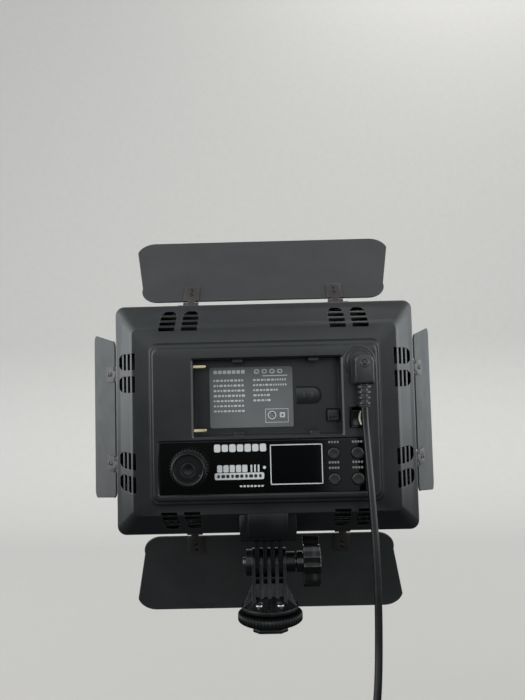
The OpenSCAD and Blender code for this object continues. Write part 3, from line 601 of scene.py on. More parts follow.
def coilPoints(s):
    points = []
    x, _, z = s["coil"]
    last = len(leadTurns) - 1
    total = 360 * last + s["leave"] - s["enter"]
    steps = int(total / 360 * s["perTurn"])
    for k in range(steps + 1):
        along = total * k / steps
        turn = min(int(along // 360), last)
        layer, column = leadTurns[turn]
        radius, y = s["layers"][layer], s["columns"][column]
        if turn:  # ease over from the turn before
            part = min((along - 360 * turn) / s["cross"], 1)
            part = part * part * (3 - 2 * part)
            before = leadTurns[turn - 1]
            radius = s["layers"][before[0]] * (1 - part) + radius * part
            y = s["columns"][before[1]] * (1 - part) + y * part
        a = math.radians(s["enter"] + along)
        points.append((x + radius * math.cos(a), y, z + radius * math.sin(a)))
    return points


def smoothLine(points, each):  # Catmull-Rom through the points
    line = []
    for i in range(len(points) - 1):
        p0, p1 = Vector(points[max(i - 1, 0)]), Vector(points[i])
        p2, p3 = Vector(points[i + 1]), Vector(points[min(i + 2, len(points) - 1)])
        for k in range(each):
            t = k / each
            line.append(0.5 * (2 * p1 + (p2 - p0) * t + (2 * p0 - 5 * p1 + 4 * p2 - p3) * t * t
                               + (3 * p1 - p0 - 3 * p2 + p3) * t ** 3))
    line.append(Vector(points[-1]))
    return line


def makeLead(s):
    wound = coilPoints(s)
    line = smoothLine(leadDrop + wound[:2], 4)[:-1] + [Vector(p) for p in wound[1:-1]]
    line += smoothLine([wound[-1]] + leadTail, 4)
    data = bpy.data.curves.new("lead", "CURVE")
    data.dimensions = "3D"
    data.bevel_depth = s["diameter"] / 2 * mm
    data.bevel_resolution = 4
    data.use_fill_caps = True
    spline = data.splines.new("POLY")
    spline.points.add(len(line) - 1)
    for point, place in zip(spline.points, line):
        point.co = (*(place * mm), 1)
    spline.use_smooth = True
    data.materials.append(finish["cordRubber"])
    lead = bpy.data.objects.new("lead", data)
    scene.collection.objects.link(lead)
    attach(lead, "head")
    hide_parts("power_cord", "cord_coil")
    return lead


lead = makeLead(leadSet)

adapterSet = {"at": (46, -39.2, -86), "width": 36, "depth": 26, "top": -8, "bottom": -63,
              "corner": 4, "groove": -35.7, "pinGap": 6.35, "pinWidth": 6.4, "pinThick": 1.5,
              "pinEnd": -80, "pinHole": (1.6, -76), "ridges": 7, "ridge": (22, 1.2),
              "ridgeTop": -18, "ridgePitch": 2.2}


def flatRings(rows, steps=8):  # rows: height, width, depth, radius; rings lie flat
    return [[(p[0], p[1], row[0]) for p in outline(*row[1:], steps=steps)] for row in rows]


def makeAdapter(s):
    space = standSpace @ Matrix.Translation(s["at"])
    w, d, r = s["width"], s["depth"], s["corner"]
    top, g, low = s["top"], s["groove"], s["bottom"]
    insets = [(top, 6, 1.6), (top, 3.4, 1), (top - 0.5, 1.4, 0.4), (top - 1.6, 0.3, 0),
              (top - 3, 0, 0), (g + 0.4, 0, 0), (g + 0.15, 0.4, 0), (g + 0.1, 1, 0),
              (g - 0.4, 1, 0), (g - 0.45, 0.4, 0), (g - 0.7, 0, 0), (low + 2, 0, 0),
              (low + 0.7, 0.4, 0), (low + 0.1, 1.6, 0.5), (low, 3, 1),
              (low, 5, 1.6)]  # height, inset, corner inset
    rows = [(z, w - inset, d - inset, r - tuck) for z, inset, tuck in insets]
    case = painted(loft("adapterCase", flatRings(rows), space), "adapterPlastic")
    neckRows = [(0, -9.4), (3.35, -9.4), (3.4, -8)]
    for k in range(3):
        z = -6.9 + 2.2 * k
        neckRows += [(3.3 - 0.3 * k, z), (3.3 - 0.3 * k, z + 0.4), (2.7 - 0.2 * k, z + 0.5),
                     (2.7 - 0.2 * k, z + 1.3), (3.1 - 0.3 * k, z + 1.4)]
    neckRows += [(2.3, -0.2), (2.1, 0), (0, 0)]
    neck = painted(lathe("adapterNeck", neckRows, space, 32), "adapterPlastic")
    plateRows = [(low + 0.5, 22, 13, 2), (low - 0.3, 22, 13, 2), (low - 0.5, 21.4, 12.4, 1.8)]
    plate = painted(loft("adapterPlate", flatRings(plateRows), space), "adapterPlastic")
    ribs = []
    wide, tall = s["ridge"]
    for k in range(s["ridges"]):  # finger ridges on both broad sides
        z = s["ridgeTop"] - k * s["ridgePitch"]
        for side in (-1, 1):
            rings = [[(p[0], side * (d / 2 - inset), p[1])
                      for p in outline(wide - grow, tall - grow, 0.4, 0, z, steps=3)]
                     for inset, grow in ((0.4, 0), (-0.15, 0.1), (-0.3, 0.5))]
            ribs.append(painted(loft("adapterRidge", rings, space), "adapterPlastic"))
    case = joined("adapterCase", [case, neck, plate] + ribs)
    settle(case, "head")
    pins = []
    for side in (-1, 1):
        x = side * s["pinGap"]
        thick, wide, end = s["pinThick"], s["pinWidth"], s["pinEnd"]
        rows = [(low + 1, thick, wide, 0.3), (end + 1.4, thick, wide, 0.3),
                (end + 0.3, thick - 0.4, wide - 1, 0.3), (end, thick - 0.8, wide - 2, 0.2)]
        pin = loft("adapterPin", [[(p[0] + x, p[1], row[0]) for p in outline(*row[1:], steps=3)]
                                  for row in rows], space)
        radius, height = s["pinHole"]
        across = Matrix.Translation((x, 0, height)) @ turned(90, "Y")
        hole = lathe("pinHole", [(radius, -3), (radius, 3)], space @ across, 20)
        pins.append(carve(pin, hole))
    pins = joined("adapterPins", pins)
    settle(pins, "head", "steel")
    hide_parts("wall_adapter")
    return case, pins


adapterCase, adapterPins = makeAdapter(adapterSet)
leadTie = softCopy("cord_tie", "head", "tieFabric", 0.35)
print("lead and adapter made")

plugSet = {"x": 50, "z": 28.5, "drop": 11, "steps": 8, "corner": 2.6, "chamfer": (0.9, 0.26),
           "dimpleZ": 28.1}
reliefSet = {"x": 50, "y": -8, "top": 17.8, "end": 6, "rings": 4, "pitch": 2.75,
             "bridge": (1.9, 1.7, 0.4)}


def archRing(half, y, top, cut, s):  # straight-sided foot under a top with rounded corners
    x, z, c = s["x"], s["z"], s["corner"]
    foot = z - s["drop"] + cut
    points = []
    for side, start in ((1, 0), (-1, 90)):
        for k in range(s["steps"] + 1):
            a = math.radians(start + 90 * k / s["steps"])
            points.append((x + side * (half - c) + c * math.cos(a), y,
                           z + top - c + c * math.sin(a)))
    chamfer, turn = s["chamfer"]
    lower = [(half, chamfer), (half - turn, turn), (half - chamfer, 0)]
    points += [(x - across, y, foot + up) for across, up in lower]
    return points + [(x + across, y, foot + up) for across, up in lower[::-1]]


def makePlug(s):
    rows = [(4.9, -2.0, 3.3, 0.4), (5.3, -2.05, 3.7, 0.1), (5.4, -2.4, 3.8, 0), (5.4, -3.4, 3.8, 0),
            (5.25, -3.7, 3.7, 0), (4.95, -4.2, 3.55, 0), (4.9, -4.8, 3.5, 0), (4.9, -10.6, 3.5, 0),
            (4.78, -11.3, 3.4, 0.15), (4.55, -11.85, 3.25, 0.4), (4.4, -11.98, 3.1, 0.55),
            (4.34, -12.05, 3.02, 0.6), (4.3, -12.45, 2.95, 0.7), (4.15, -12.72, 2.8, 0.85),
            (3.9, -12.8, 2.6, 1.1)]
    head = loft("plugHead", [archRing(*row, s) for row in rows], headSpace)
    space = alongY(s["x"], -12.6, s["dimpleZ"])
    ring = lathe("plugRing", [(1.5, 0), (1.55, 0.05), (1.62, 0.36), (1.8, 0.48), (2.05, 0.45),
                              (2.2, 0.3), (2.25, 0), (2.25, -0.3), (1.5, -0.3)], space, 36)
    dome = lathe("plugDimple", [(0, 0.34), (0.6, 0.3), (1.1, 0.2), (1.4, 0.02), (1.4, -0.3),
                                (0, -0.3)], space, 30)
    lip = lathe("plugCollar", [(0, -0.55), (5.0, -0.55), (5.3, -0.4), (5.35, -0.1), (0, -0.1)],
                alongY(s["x"], -2.6, s["z"]), 40)
    barrel = lathe("plugBarrel", [(2.75, 0), (2.75, 13.4), (2.5, 14), (1.1, 14), (1.1, 4), (0, 4)],
                   alongY(s["x"], 11.4, s["z"]), 32)
    moulded = [painted(thing, "plugRubber") for thing in (head, ring, dome, lip)]
    return settle(joined("plug", moulded + [painted(barrel, "steel")]), "head", None,
                  ("dc_plug",))


def makeRelief(s):
    space = headSpace @ Matrix.Translation((s["x"], s["y"], 0))
    top, end = s["top"], s["end"]
    coreRows = [(0, top), (2.2, top), (2.1, 12), (1.95, end + 0.3), (1.9, end), (0, end)]
    parts = [lathe("reliefCore", coreRows, space, 32)]
    for i in range(s["rings"]):  # each ring is joined to the one before by two bridges
        z = end + 1.2 + i * s["pitch"]
        r = 3.0 + 0.17 * i
        ringRows = [(1.8, z), (r - 0.3, z), (r, z + 0.25), (r, z + 1.3), (r - 0.3, z + 1.55),
                    (1.8, z + 1.55)]
        parts.append(lathe("reliefRing", ringRows, space, 36))
        foot = outline(*s["bridge"], r - 1.1, 0, 3)
        for side in (0, 180):
            rings = [[(x, y, z + height) for x, y in foot] for height in (-1.3, 0.3)]
            parts.append(loft("reliefBridge", rings, space @ turned(side + 90, "Z")))
    endRows = [(1.85, end), (2.6, end + 0.05), (2.8, end + 0.3), (2.85, end + 0.9),
               (2.2, end + 1.1)]
    parts.append(lathe("reliefEnd", endRows, space, 36))
    return settle(joined("strainRelief", [painted(p, "plugRubber") for p in parts]), "head",
                  None, ("strain_relief",), 30)


plug, relief = makePlug(plugSet), makeRelief(reliefSet)

# rear housing and front frame
housingSet = {"rim": (167, 127, 5), "rimY": 22, "shoulder": (141, 98.8, 3.2), "shoulderY": 6.2,
              "step": 0.55, "face": (116.4, 77), "faceZ": -1.3, "wall": 2,
              "bay": (77.4, 40, 1.3, 11.9), "bayDepth": 12, "panel": (109.3, 27.5, -1, -24),
              "panelDepth": 1.5, "knob": (-39.5, -23.5), "knobHole": 3.7, "keysX": (34.9, 47.1),
              "keysZ": (-18, -31.2), "keyHole": 3.35, "switch": (9.2, 10.8, 0.4, 48.3, 0.8),
              "latch": (36.4, 0.9), "latchHole": 7, "inlet": (49.5, 29.2), "hooksX": (-14, 26),
              "hook": (5, 1.8, 2.4), "ventX": (-52, -39.8, 39.8, 52),
              "ventZ": (32, 19.8, -21.2, -33.4), "ventWidth": 8.8, "ventReach": 12.5,
              "ventInset": 1.5, "ventDepth": (2.7, 20.8)}
louvreSet = {"count": 3, "pitch": 3.2, "back": 1.35, "sink": 0.75, "slant": 1.2, "overlap": 0.3}


# ring of the slope, share 0 at the rim and 1 at the shoulder edge
def slopeRow(s, y, share, tuck=0.0):
    w, h, r = s["rim"]
    sw, sh, sr = s["shoulder"]
    return (y, w + (sw - w) * share - 2 * tuck, h + (sh - h) * share - 2 * tuck,
            r + (sr - r) * share - tuck / 2)


def makeShell(s):
    rimY, top = s["rimY"], s["shoulderY"]
    run = rimY - top
    rows = [slopeRow(s, rimY, 0.0, 0.5), slopeRow(s, rimY - 0.12, 0.0, 0.1),
            slopeRow(s, rimY - 0.5, 0.0), slopeRow(s, rimY - 0.9, 0.012),
            slopeRow(s, rimY - 1.5, 0.05), slopeRow(s, rimY - 2.2, 0.108)]
    for share in (0.25, 0.45, 0.65, 0.8, 0.9):
        rows.append(slopeRow(s, rimY - run * share * 0.985, share))
    edge = top + s["step"]
    rows += [slopeRow(s, edge + 0.25, 0.945), slopeRow(s, edge + 0.08, 0.962),
             slopeRow(s, edge - 0.15, 0.972), slopeRow(s, edge - 0.38, 0.978),
             slopeRow(s, top + 0.05, 0.992), slopeRow(s, top, 1.012)]
    fw, fh = s["face"]
    z = s["faceZ"]
    faceRows = []
    for y, dw, dh, r in ((top, 7.6, 9.2, 4.6), (top - 0.05, 7.2, 8.8, 4.4),
                         (top - 0.3, 6.9, 8.5, 4.35), (3.2, 5.0, 6.6, 4.15), (2.85, 4.6, 6.2, 4.1),
                         (2.62, 4.0, 5.6, 4), (2.6, 3.4, 5.0, 3.8), (2.6, 2.4, 3.6, 3.6),
                         (2.5, 1.9, 3.0, 3.55), (2.3, 1.6, 2.6, 3.5), (1.1, 1.4, 2.2, 3.5),
                         (0.7, 1.25, 2.05, 3.45), (0.3, 0.8, 1.4, 3.3), (0.06, 0.25, 0.5, 3.1),
                         (0, -0.4, -0.4, 2.9)):
        faceRows.append((y, fw + dw, fh + dh, r))
    shell = loft("housingShell", boxRings(rows) + boxRings(faceRows, z=z), headSpace)
    wall = s["wall"]
    w, h = s["rim"][0] - 2 * wall, s["rim"][1] - 2 * wall
    sw, sh = s["shoulder"][0] - 2 * wall, s["shoulder"][1] - 2 * wall
    inner = boxRings([(rimY + 1, w, h, 3), (rimY - 1.5, w - 0.6, h - 0.6, 3),
                      (top + wall, sw + 0.6, sh + 0.6, 2.4)])
    inner += boxRings([(top + wall, fw - 1, fh + 0.6, 2.4), (2.5, fw - 4, fh - 4, 2.2)], z=z)
    carve(shell, loft("hollow", inner, headSpace))
    bw, bh, bx, bz = s["bay"]
    tray = [(1.2, bw + 4, bh + 4, 1), (s["bayDepth"] + 2, bw + 4, bh + 4, 1)]
    return carve(shell, headBox("tray", tray, 8, bx, bz), "UNION")


def ventOutline(s, lift=0.0):  # D outline: straight end on the shoulder, round end out on the slope
    half, reach = s["ventWidth"] / 2 + lift, s["ventReach"]
    points = [(-half, -lift), (half, -lift)]
    for k in range(13):
        a = math.pi * k / 12
        points.append((half * math.cos(a), reach - s["ventWidth"] / 2 + half * math.sin(a)))
    return [p for p in points if p[1] <= reach - 0.5 + lift]


def ventPlaces(s):  # middle of the straight end, direction outwards and direction along the edge
    w, h, _ = s["shoulder"]
    for x in s["ventX"]:
        for side in (-1, 1):
            yield (x, side * (h / 2 - s["ventInset"])), (0, side), (side, 0)
    for z in s["ventZ"]:
        for side in (-1, 1):
            yield (side * (w / 2 - s["ventInset"]), z), (side, 0), (0, -side)


def placedAt(place, points):
    (x, z), out, along = place
    return [(x + out[0] * p[1] + along[0] * p[0], z + out[1] * p[1] + along[1] * p[0])
            for p in points]


def makeVents(s, t, shell):
    top, rimY = s["shoulderY"], s["rimY"]
    for place in ventPlaces(s):
        carve(shell, prism("ventCut", placedAt(place, ventOutline(s)), *s["ventDepth"]))
    bars = []
    for place in ventPlaces(s):
        side = abs(place[1][0]) > 0.5
        across = 0 if side else 1
        rise = (rimY - top) / ((s["rim"][across] - s["shoulder"][across]) / 2)
        fall = t["slant"] * rise
        for k in range(1, t["count"] + 1):
            low = k * t["pitch"] - t["back"]
            depth = top + t["sink"] + max(0.0, (low - s["ventInset"])) * rise
            w = s["ventWidth"] / 2 + t["overlap"]
            rings = []
            for along in (-w, w):  # slanted louvre: outer face follows the slope, root further in
                profile = [(low, depth), (low + 0.16, depth - 0.12),
                           (low + 1.35, depth + fall - 0.25), (low + 1.45, depth + fall + 0.1),
                           (low + 1.75, depth + fall + 2.2), (low + 0.5, depth + 2.6)]
                ring = []
                for out, y in profile:
                    (x, z), = placedAt(place, [(along, out)])
                    ring.append((x, y, z))
                rings.append(ring)
            bars.append(loft("ventBar", rings, headSpace))
    return bars


def makeHousing(s):
    shell = makeShell(s)
    bw, bh, bx, bz = s["bay"]
    bay = [(-1, bw + 3.4, bh + 3.2, 1.6), (0.02, bw + 2.0, bh + 1.9, 1.2),
           (0.7, bw + 0.1, bh + 0.1, 0.7), (s["bayDepth"], bw, bh, 0.6)]
    carve(shell, headBox("bayCut", bay, 8, bx, bz))
    pw, ph, px, pz = s["panel"]
    pocket = [(-1, pw + 2.4, ph + 2.4, 1.6), (0.02, pw + 1.3, ph + 1.3, 1.3), (0.5, pw, ph, 0.8),
              (s["panelDepth"], pw, ph, 0.8)]
    carve(shell, headBox("pocketCut", pocket, 8, px, pz))
    holes = [(*s["knob"], s["knobHole"])]
    holes += [(x, z, s["keyHole"]) for x in s["keysX"] for z in s["keysZ"]]
    for x, z, r in holes:
        carve(shell, lathe("keyCut", [(r, -3), (r, 8)], alongY(x, 4, z), 32))
    carve(shell, prism("switchCut", outline(*s["switch"], 3), -1, 4.5))
    side = s["latchHole"]
    carve(shell, prism("latchCut", outline(side, side, 0.5, *s["latch"], 3), 8, 15))
    # the vent bars take a darker finish as painted shade
    bars = [painted(bar, "ventBarShade") for bar in makeVents(s, louvreSet, shell)]
    parts = [shell]
    boss = [(0, -4)]
    for r, y in ((8.4, -4), (8.4, -0.1), (8.1, 0.5), (8.1, 1.05), (7.85, 1.2), (7.5, 1.2),
                 (7.35, 1.12), (7.2, 1.2), (6.9, 1.2), (6.75, 1.12), (6.62, 1.2), (6.55, 1.6),
                 (6.35, 1.78), (6.0, 1.8), (5.85, 1.7), (5.7, 1.8), (5.4, 1.8), (5.25, 1.7),
                 (5.1, 1.78), (4.4, 1.78)):
        boss.append((r, y))
    boss.append((0, 1.7))
    x, z = s["inlet"]
    parts.append(lathe("inletBoss", boss, alongY(x, 0, z), 64))
    wide, tall, hookY = s["hook"]
    for x in s["hooksX"]:
        for side in (-1, 1):
            z = bz + side * (bh / 2 - 0.65)
            rings = []
            for y, grow in ((0.0, 0.0), (0.35, 0.28), (1.6, 0.28), (2.2, -0.1)):
                hook = outline(wide + 2 * grow, tall + grow, 0.4, x, z - side * grow / 2, 3)
                rings.append(ringAt(hook, hookY + y))
            parts.append(loft("bayHook", rings, headSpace))
    return settle(joined("rearShell", [painted(p, "housingPlastic") for p in parts] + bars), "head",
                  None, ("rear_housing",), 34)


housing = makeHousing(housingSet)
print("housing made, faces:", len(housing.data.polygons))

frameSet = {"rim": housingSet["rim"], "back": housingSet["rimY"], "front": 41,
            "wall": housingSet["wall"], "lip": 6}


def makeFront(s):
    w, h, r = s["rim"]
    t, back, front = s["wall"], s["back"], s["front"]
    o = 2 * (t + s["lip"])
    insets = [(back + 0.02, 1.2, r - 0.5), (back + 0.12, 0.2, r), (back + 0.5, 0, r),
              (front - 1.6, 0, r), (front - 0.9, 0.4, r), (front - 0.35, 1.2, r - 0.4),
              (front, 2.6, r - 1), (front, o - 1.6, 3.8), (front - 0.2, o - 0.8, 3.4),
              (front - t + 0.3, o, 3), (front - t, o - 0.4, 3.2),
              (front - t, 2 * t, r - t), (back + 0.02, 2 * t, r - t)]  # y, inset, corner
    rows = [(y, w - inset, h - inset, corner) for y, inset, corner in insets]
    return settle(loft("frontFrame", boxRings(rows), headSpace, closed=True), "head",
                  "housingPlastic", ("front_frame",), 30)


makeFront(frameSet)

lampSet = {"columns": 20, "rows": 15, "pitch": 7.5, "base": 32.6, "width": 3.5, "height": 2.8,
           "tall": 0.8}
lampKinds = (  # piece, node, slot, lens finish
    ("coolLamps", "cool_leds", "cool_lamp", "coolPhosphor"),
    ("warmLamps", "warm_leds", "warm_lamp", "warmPhosphor"))


def makeLamps(s):  # surface-mount packages: white body with a lens of phosphor sunk into it
    places = {0: [], 1: []}
    w, h, top = s["width"], s["height"], s["base"] + s["tall"]
    count = len(outline(w, h, 0.2, steps=2))
    rows = [(s["base"], w, h, 0.2), (top - 0.25, w, h, 0.2), (top, w - 0.3, h - 0.3, 0.2),
            (top, w - 0.8, h - 0.7, 0.5), (top - 0.18, w - 1.2, h - 1.0, 0.45)]
    for i in range(s["columns"]):
        for j in range(s["rows"]):
            x = (i - (s["columns"] - 1) / 2) * s["pitch"]
            z = (j - (s["rows"] - 1) / 2) * s["pitch"]
            places[(i + j) % 2].append((x, z))
    for parity, (name, node, slot, lens) in enumerate(lampKinds):
        points, faces, marks = [], [], []
        for x, z in places[parity]:
            start = len(points)
            for row in rows:
                points += ringAt(outline(*row[1:], x, z, steps=2), row[0])
            for k in range(len(rows) - 1):
                for n in range(count):
                    m = (n + 1) % count
                    a, b = start + k * count, start + (k + 1) * count
                    faces.append((a + n, a + m, b + m, b + n))
                    marks.append(0 if k < 3 else 1)
            faces.append(tuple(start + n for n in range(count))[::-1])
            faces.append(tuple(start + (len(rows) - 1) * count + n for n in range(count)))
            marks += [0, 1]
        lamps = buildMesh(name, points, faces, headSpace)
        lamps.data.materials.append(finish["lampBody"])
        lamps.data.materials.append(finish[lens])
        for face, mark in zip(lamps.data.polygons, marks):
            face.material_index = mark
        settle(lamps, "head", None, (node,))


makeLamps(lampSet)
# the heat plate is near-black as painted shade inside the housing
keptNodes = {"diffuserSheet": ["diffuser"], "darkPlate": ["heat_plate"],
             "whiteBoard": ["led_board"], "greenBoard": ["driver_board", "control_board"],
             "knobPlastic": ["dc_socket"], "steel": ["encoder_body", "encoder_shaft",
                                                     "key_switches", "board_screws"]}
for look, kept in keptNodes.items():
    for node in kept:
        keepNode(node, look)
print("front frame and lamps made")

# battery bay
bayWidth, _, bayX, bayZ = housingSet["bay"]
baySet = {"x": bayX, "z": bayZ, "width": bayWidth, "floor": housingSet["bayDepth"],
          "contactZ": (28.4, -4.9), "contactY": 1.6, "plate": (45.2, 32.8, -7.4, 11.5),
          "latch": housingSet["latch"]}
markSet = {"thick": 0.05, "round": 0.32, "steps": 3}


def bar(name, x, z, width, height, y, thick=markSet["thick"], radius=None):  # a thin raised mark
    radius = min(width, height) * markSet["round"] if radius is None else radius
    return prism(name, outline(width, height, radius, x, z, markSet["steps"]), y - thick, y)


def marker(parts, y, thick):  # adds printed marks to a piece's list of parts
    def mark(x, z, width, height, look="printInk", radius=None):
        parts.append(painted(bar("mark", x, z, width, height, y, thick, radius), look))
    return mark


def makeContacts(s):
    blades = []
    edge = s["x"] - s["width"] / 2
    for z in s["contactZ"]:
        rows = ((0.0, 0.0), (0.0, 0.18), (0.12, 0.28), (0.6, 0.28), (0.75, 0.18), (0.8, 0.0))
        rings = []
        for y, grow in rows:
            half = 0.5 + grow
            ring = [(edge, s["contactY"] + y, z - half)]
            for k in range(9):
                a = -math.pi / 2 + math.pi * k / 8
                ring.append((edge + 6 + (half * 0.9) * math.cos(a), s["contactY"] + y,
                             z + half * math.sin(a)))
            ring.append((edge, s["contactY"] + y, z + half))
            rings.append(ring)
        blades.append(painted(loft("contactBlade", rings, headSpace), "goldContact"))
    return settle(joined("contacts", blades), "head", None, ("battery_contacts",))


tongueSet = {"root": 16.9, "bend": 25.9, "reach": 3.9, "half": 4, "steps": 12, "thick": 0.8,
             "gap": 1.22, "gapEnd": 0.9, "ribsX": (21.6, 26.0), "rib": (1.2, 4.4, 0.5)}


def makeTongue(s):
    z, floor, t = s["z"], s["floor"], tongueSet
    root, bend, half = t["root"], t["bend"], t["half"]
    points = [(root, z - half), (bend, z - half)]
    for k in range(1, t["steps"]):
        a = -math.pi / 2 + math.pi * k / t["steps"]
        points.append((bend + t["reach"] * math.cos(a), z + half * math.sin(a)))
    points += [(bend, z + half), (root, z + half)]
    tongue = softenEdges(prism("tongueLeaf", points, floor - t["thick"], floor), 0.2, tidy=0)
    # dark sheet around the leaf: painted shade of the slot that frees the tongue
    around = [(x + (t["gapEnd"] if x > root else 0), z + (up - z) * t["gap"]) for x, up in points]
    groove = softenEdges(prism("tongueGapShade", around, floor - 0.06, floor + 0.3), 0.02, 1, tidy=0)
    parts = [painted(tongue, "housingPlastic"), painted(groove, "knobPlastic")]
    for x in t["ribsX"]:
        rib = prism("tongueRib", outline(*t["rib"], x, z, 4), floor - 1.4, floor - 0.7)
        parts.append(painted(softenEdges(rib, 0.2), "housingPlastic"))
    return settle(joined("tongue", parts), "head", None, ("spring_tongue",))


def makeLatch(s):
    x, z = s["latch"]
    rows = [(8.02, 5.4, 5.2, 0.5), (8.15, 5.9, 5.8, 0.6), (8.6, 6.3, 6.3, 0.7),
            (14.5, 6.3, 6.3, 0.5)]
    block = headBox("latchBlock", rows, 4, x, z)
    slot = headBox("latchSlot", [(7.5, 4.4, 1.5, 0.4), (8.9, 4.2, 1.2, 0.4)], 4, x, z - 1.2)
    carve(block, slot)
    ridge = bar("latchRidge", x, z + 1.3, 4.6, 0.7, 8.05, 0.05)
    flange = headBox("latchFlange", [(14.1, 8.6, 8.6, 0.6), (14.9, 8.6, 8.6, 0.6)], 3, x, z)
    thing = joined("latch", [painted(p, "buttonPlastic") for p in (block, ridge, flange)])
    return settle(thing, "battery_catch", None, ("battery_latch",))


plateSymbols = (  # place in the framed box, width, height, finish, corner
    (0, -3.6, 12.4, 0.28, "printInk", None), (0, 3.6, 12.4, 0.28, "printInk", None),
    (-6.1, 0, 0.28, 7.2, "printInk", None), (6.1, 0, 0.28, 7.2, "printInk", None),
    (-2.6, 0.3, 4.6, 4.6, "printInk", 2.28), (-2.6, 0.3, 3.6, 3.6, "plateLabel", 1.78),
    (-2.6, 0.3, 2.0, 2.0, "printInk", 0.4), (3.0, 0.3, 2.8, 2.8, "printInk", 0.4),
    (3.0, 0.3, 1.2, 1.2, "plateLabel", 0.58))


def makePlate(s):  # rating plate: generic rules, rows of ticks and blank symbols only
    w, h, x, z = s["plate"]
    y = s["floor"] - 0.4
    rows = [(s["floor"] + 0.05, w, h, 1.0), (y + 0.08, w, h, 1.0), (y, w - 0.16, h - 0.16, 0.95)]
    plate = headBox("plateBody", rows, 5, x, z)
    parts = [painted(plate, "plateLabel")]
    left, top = x - w / 2 + 2.2, z + h / 2 - 2.6
    mark = marker(parts, y, 0.045)
    for k, width in enumerate((2.0, 2.0, 2.0, 2.2, 2.0, 2.0, 2.0)):  # bold header row
        mark(left + 1.1 + k * 2.5, top, width, 2.0, "printInk", 0.5)
    for k in range(4):
        mark(left + 23.5 + k * 4.2, top, 3.0, 2.4, "printInk", 1.1)
        mark(left + 23.5 + k * 4.2, top, 1.8, 1.2, "plateLabel", 0.5)
    mark(left + 33.5, top - 2.4, 13.5, 0.55, "printInk")
    for row in range(7):  # two columns of small ticks
        cz = top - 4.6 - row * 2.75
        cx = left
        for k in range(9):
            width = 0.9 + 0.9 * ((k * 7 + row * 5) % 4) / 3
            if cx + width > left + 18.5:
                break
            mark(cx + width / 2, cz, width, 1.15 if row < 4 else 0.95)
            cx += width + 0.55
        cx = left + 21.5
        end = left + (40 if row < 2 else 36 if row == 2 else 31)
        while row < 5 and cx < end - 1:
            width = 0.8 + 1.0 * ((int(cx * 3) + row * 3) % 4) / 3
            mark(cx + width / 2, cz, width, 1.1)
            cx += width + 0.5
    frameX, frameZ = left + 34, z - h / 2 + 6.2
    for dx, dz, width, height, look, radius in plateSymbols:
        mark(frameX + dx, frameZ + dz, width, height, look, radius)
    return settle(joined("ratingPlate", parts), "head", None, ("rating_plate",))


for make in (makeContacts, makeTongue, makeLatch, makePlate):
    make(baySet)
print("battery bay made")

# control panel
panelSet = {"width": 109, "height": 27.2, "x": -1, "z": -24, "y": 0.3, "back": 1.45,
            "display": (26.8, 20.6, 15.5, -23.1), "keysX": housingSet["keysX"],
            "keysZ": housingSet["keysZ"], "knob": housingSet["knob"]}
panelPrint = (  # count, first x, pitch, z, width, height, corner
    (5, -24.25, 3.25, -24.7, 2.7, 3.7, 0.6), (3, -7.85, 1.85, -24.7, 0.9, 3.7, 0.25),
    (1, -1.1, 0, -24.4, 1.6, 1.6, 0.78), (1, -14.1, 0, -28.6, 25.6, 3.5, 0.9),
    (7, -13.4, 1.85, -33.8, 1.3, 0.9, None))


def makePanel(s):
    w, h, y = s["width"], s["height"], s["y"]
    rows = [(s["back"], w, h, 0.6), (y + 0.22, w, h, 0.6), (y + 0.04, w - 0.35, h - 0.35, 0.6),
            (y, w - 0.6, h - 0.6, 0.5)]
    plate = headBox("panelPlate", rows, 4, s["x"], s["z"])
    for kx in s["keysX"]:
        for kz in s["keysZ"]:
            rings = [(3.5, 1.2), (3.5, 0.05), (3.25, -0.25), (3.25, -3)]
            carve(plate, lathe("keyCut", rings, alongY(kx, y, kz), 40))
    kx, kz = s["knob"]
    carve(plate, lathe("knobCut", [(4, 3), (4, -3)], alongY(kx, y, kz), 40))
    dw, dh, dx, dz = s["display"]
    carve(plate, prism("displayCut", outline(dw + 0.05, dh + 0.05, 0.3, dx, dz, 3), -1, 3))
    parts = [painted(plate, "glossPanel")]
    mark = marker(parts, y, markSet["thick"])
    for k in range(7):  # headline: a row of plain blocks
        mark(-25.35 + k * 3.95, -14.15, 3.3, 4.0 - 0.3 * (k % 2), "printInk", 0.8)
    for count, first, pitch, z, width, height, radius in panelPrint:
        for k in range(count):
            mark(first + k * pitch, z, width, height, "printInk", radius)
    onPill = marker(parts, y - 0.045, markSet["thick"])
    for k in range(10):  # dark ticks on the pale pill
        onPill(-24.9 + k * 2.4, -28.6, 1.3 + 0.7 * ((k * 5) % 3) / 2, 1.7, "darkInk")
    for side in (-1, 1):
        mark(dx, dz + side * 10.05, 27.1, 0.5, "printInk", 0.05)
        mark(dx + side * 13.3, dz, 0.5, 20.6, "printInk", 0.05)
    for kx in s["keysX"]:  # captions over each key: short grey rules
        for kz, rises in ((s["keysZ"][0], (5.8,)), (s["keysZ"][1], (5.8, 8.6))):
            for rise in rises:
                for k in range(4):
                    mark(kx - 2.2 + k * 1.45, kz + rise, 1.05, 1.15, "greyInk")
    return settle(joined("controlPanel", parts), "head", None, ("control_panel",),
                  15)


def makeDisplay(s):
    dw, dh, dx, dz = s["display"]
    pane = [(1.4, dw - 0.25, dh - 0.25, 0.3), (0.42, dw - 0.25, dh - 0.25, 0.3),
            (0.32, dw - 0.5, dh - 0.5, 0.3)]
    glass = headBox("displayPane", pane, 4, dx, dz)
    back = [(1.3, dw - 3.6, dh - 3.6, 0.4), (5, dw - 3.6, dh - 3.6, 0.4)]
    can = headBox("displayCan", back, 3, dx, dz)
    return settle(joined("displayGlass", [painted(glass, "displayGlass"), painted(can, "steel")]),
                  "head", None, ("display",), 20)


knobSet = {"flutes": 36, "depth": 0.7, "steps": 288}


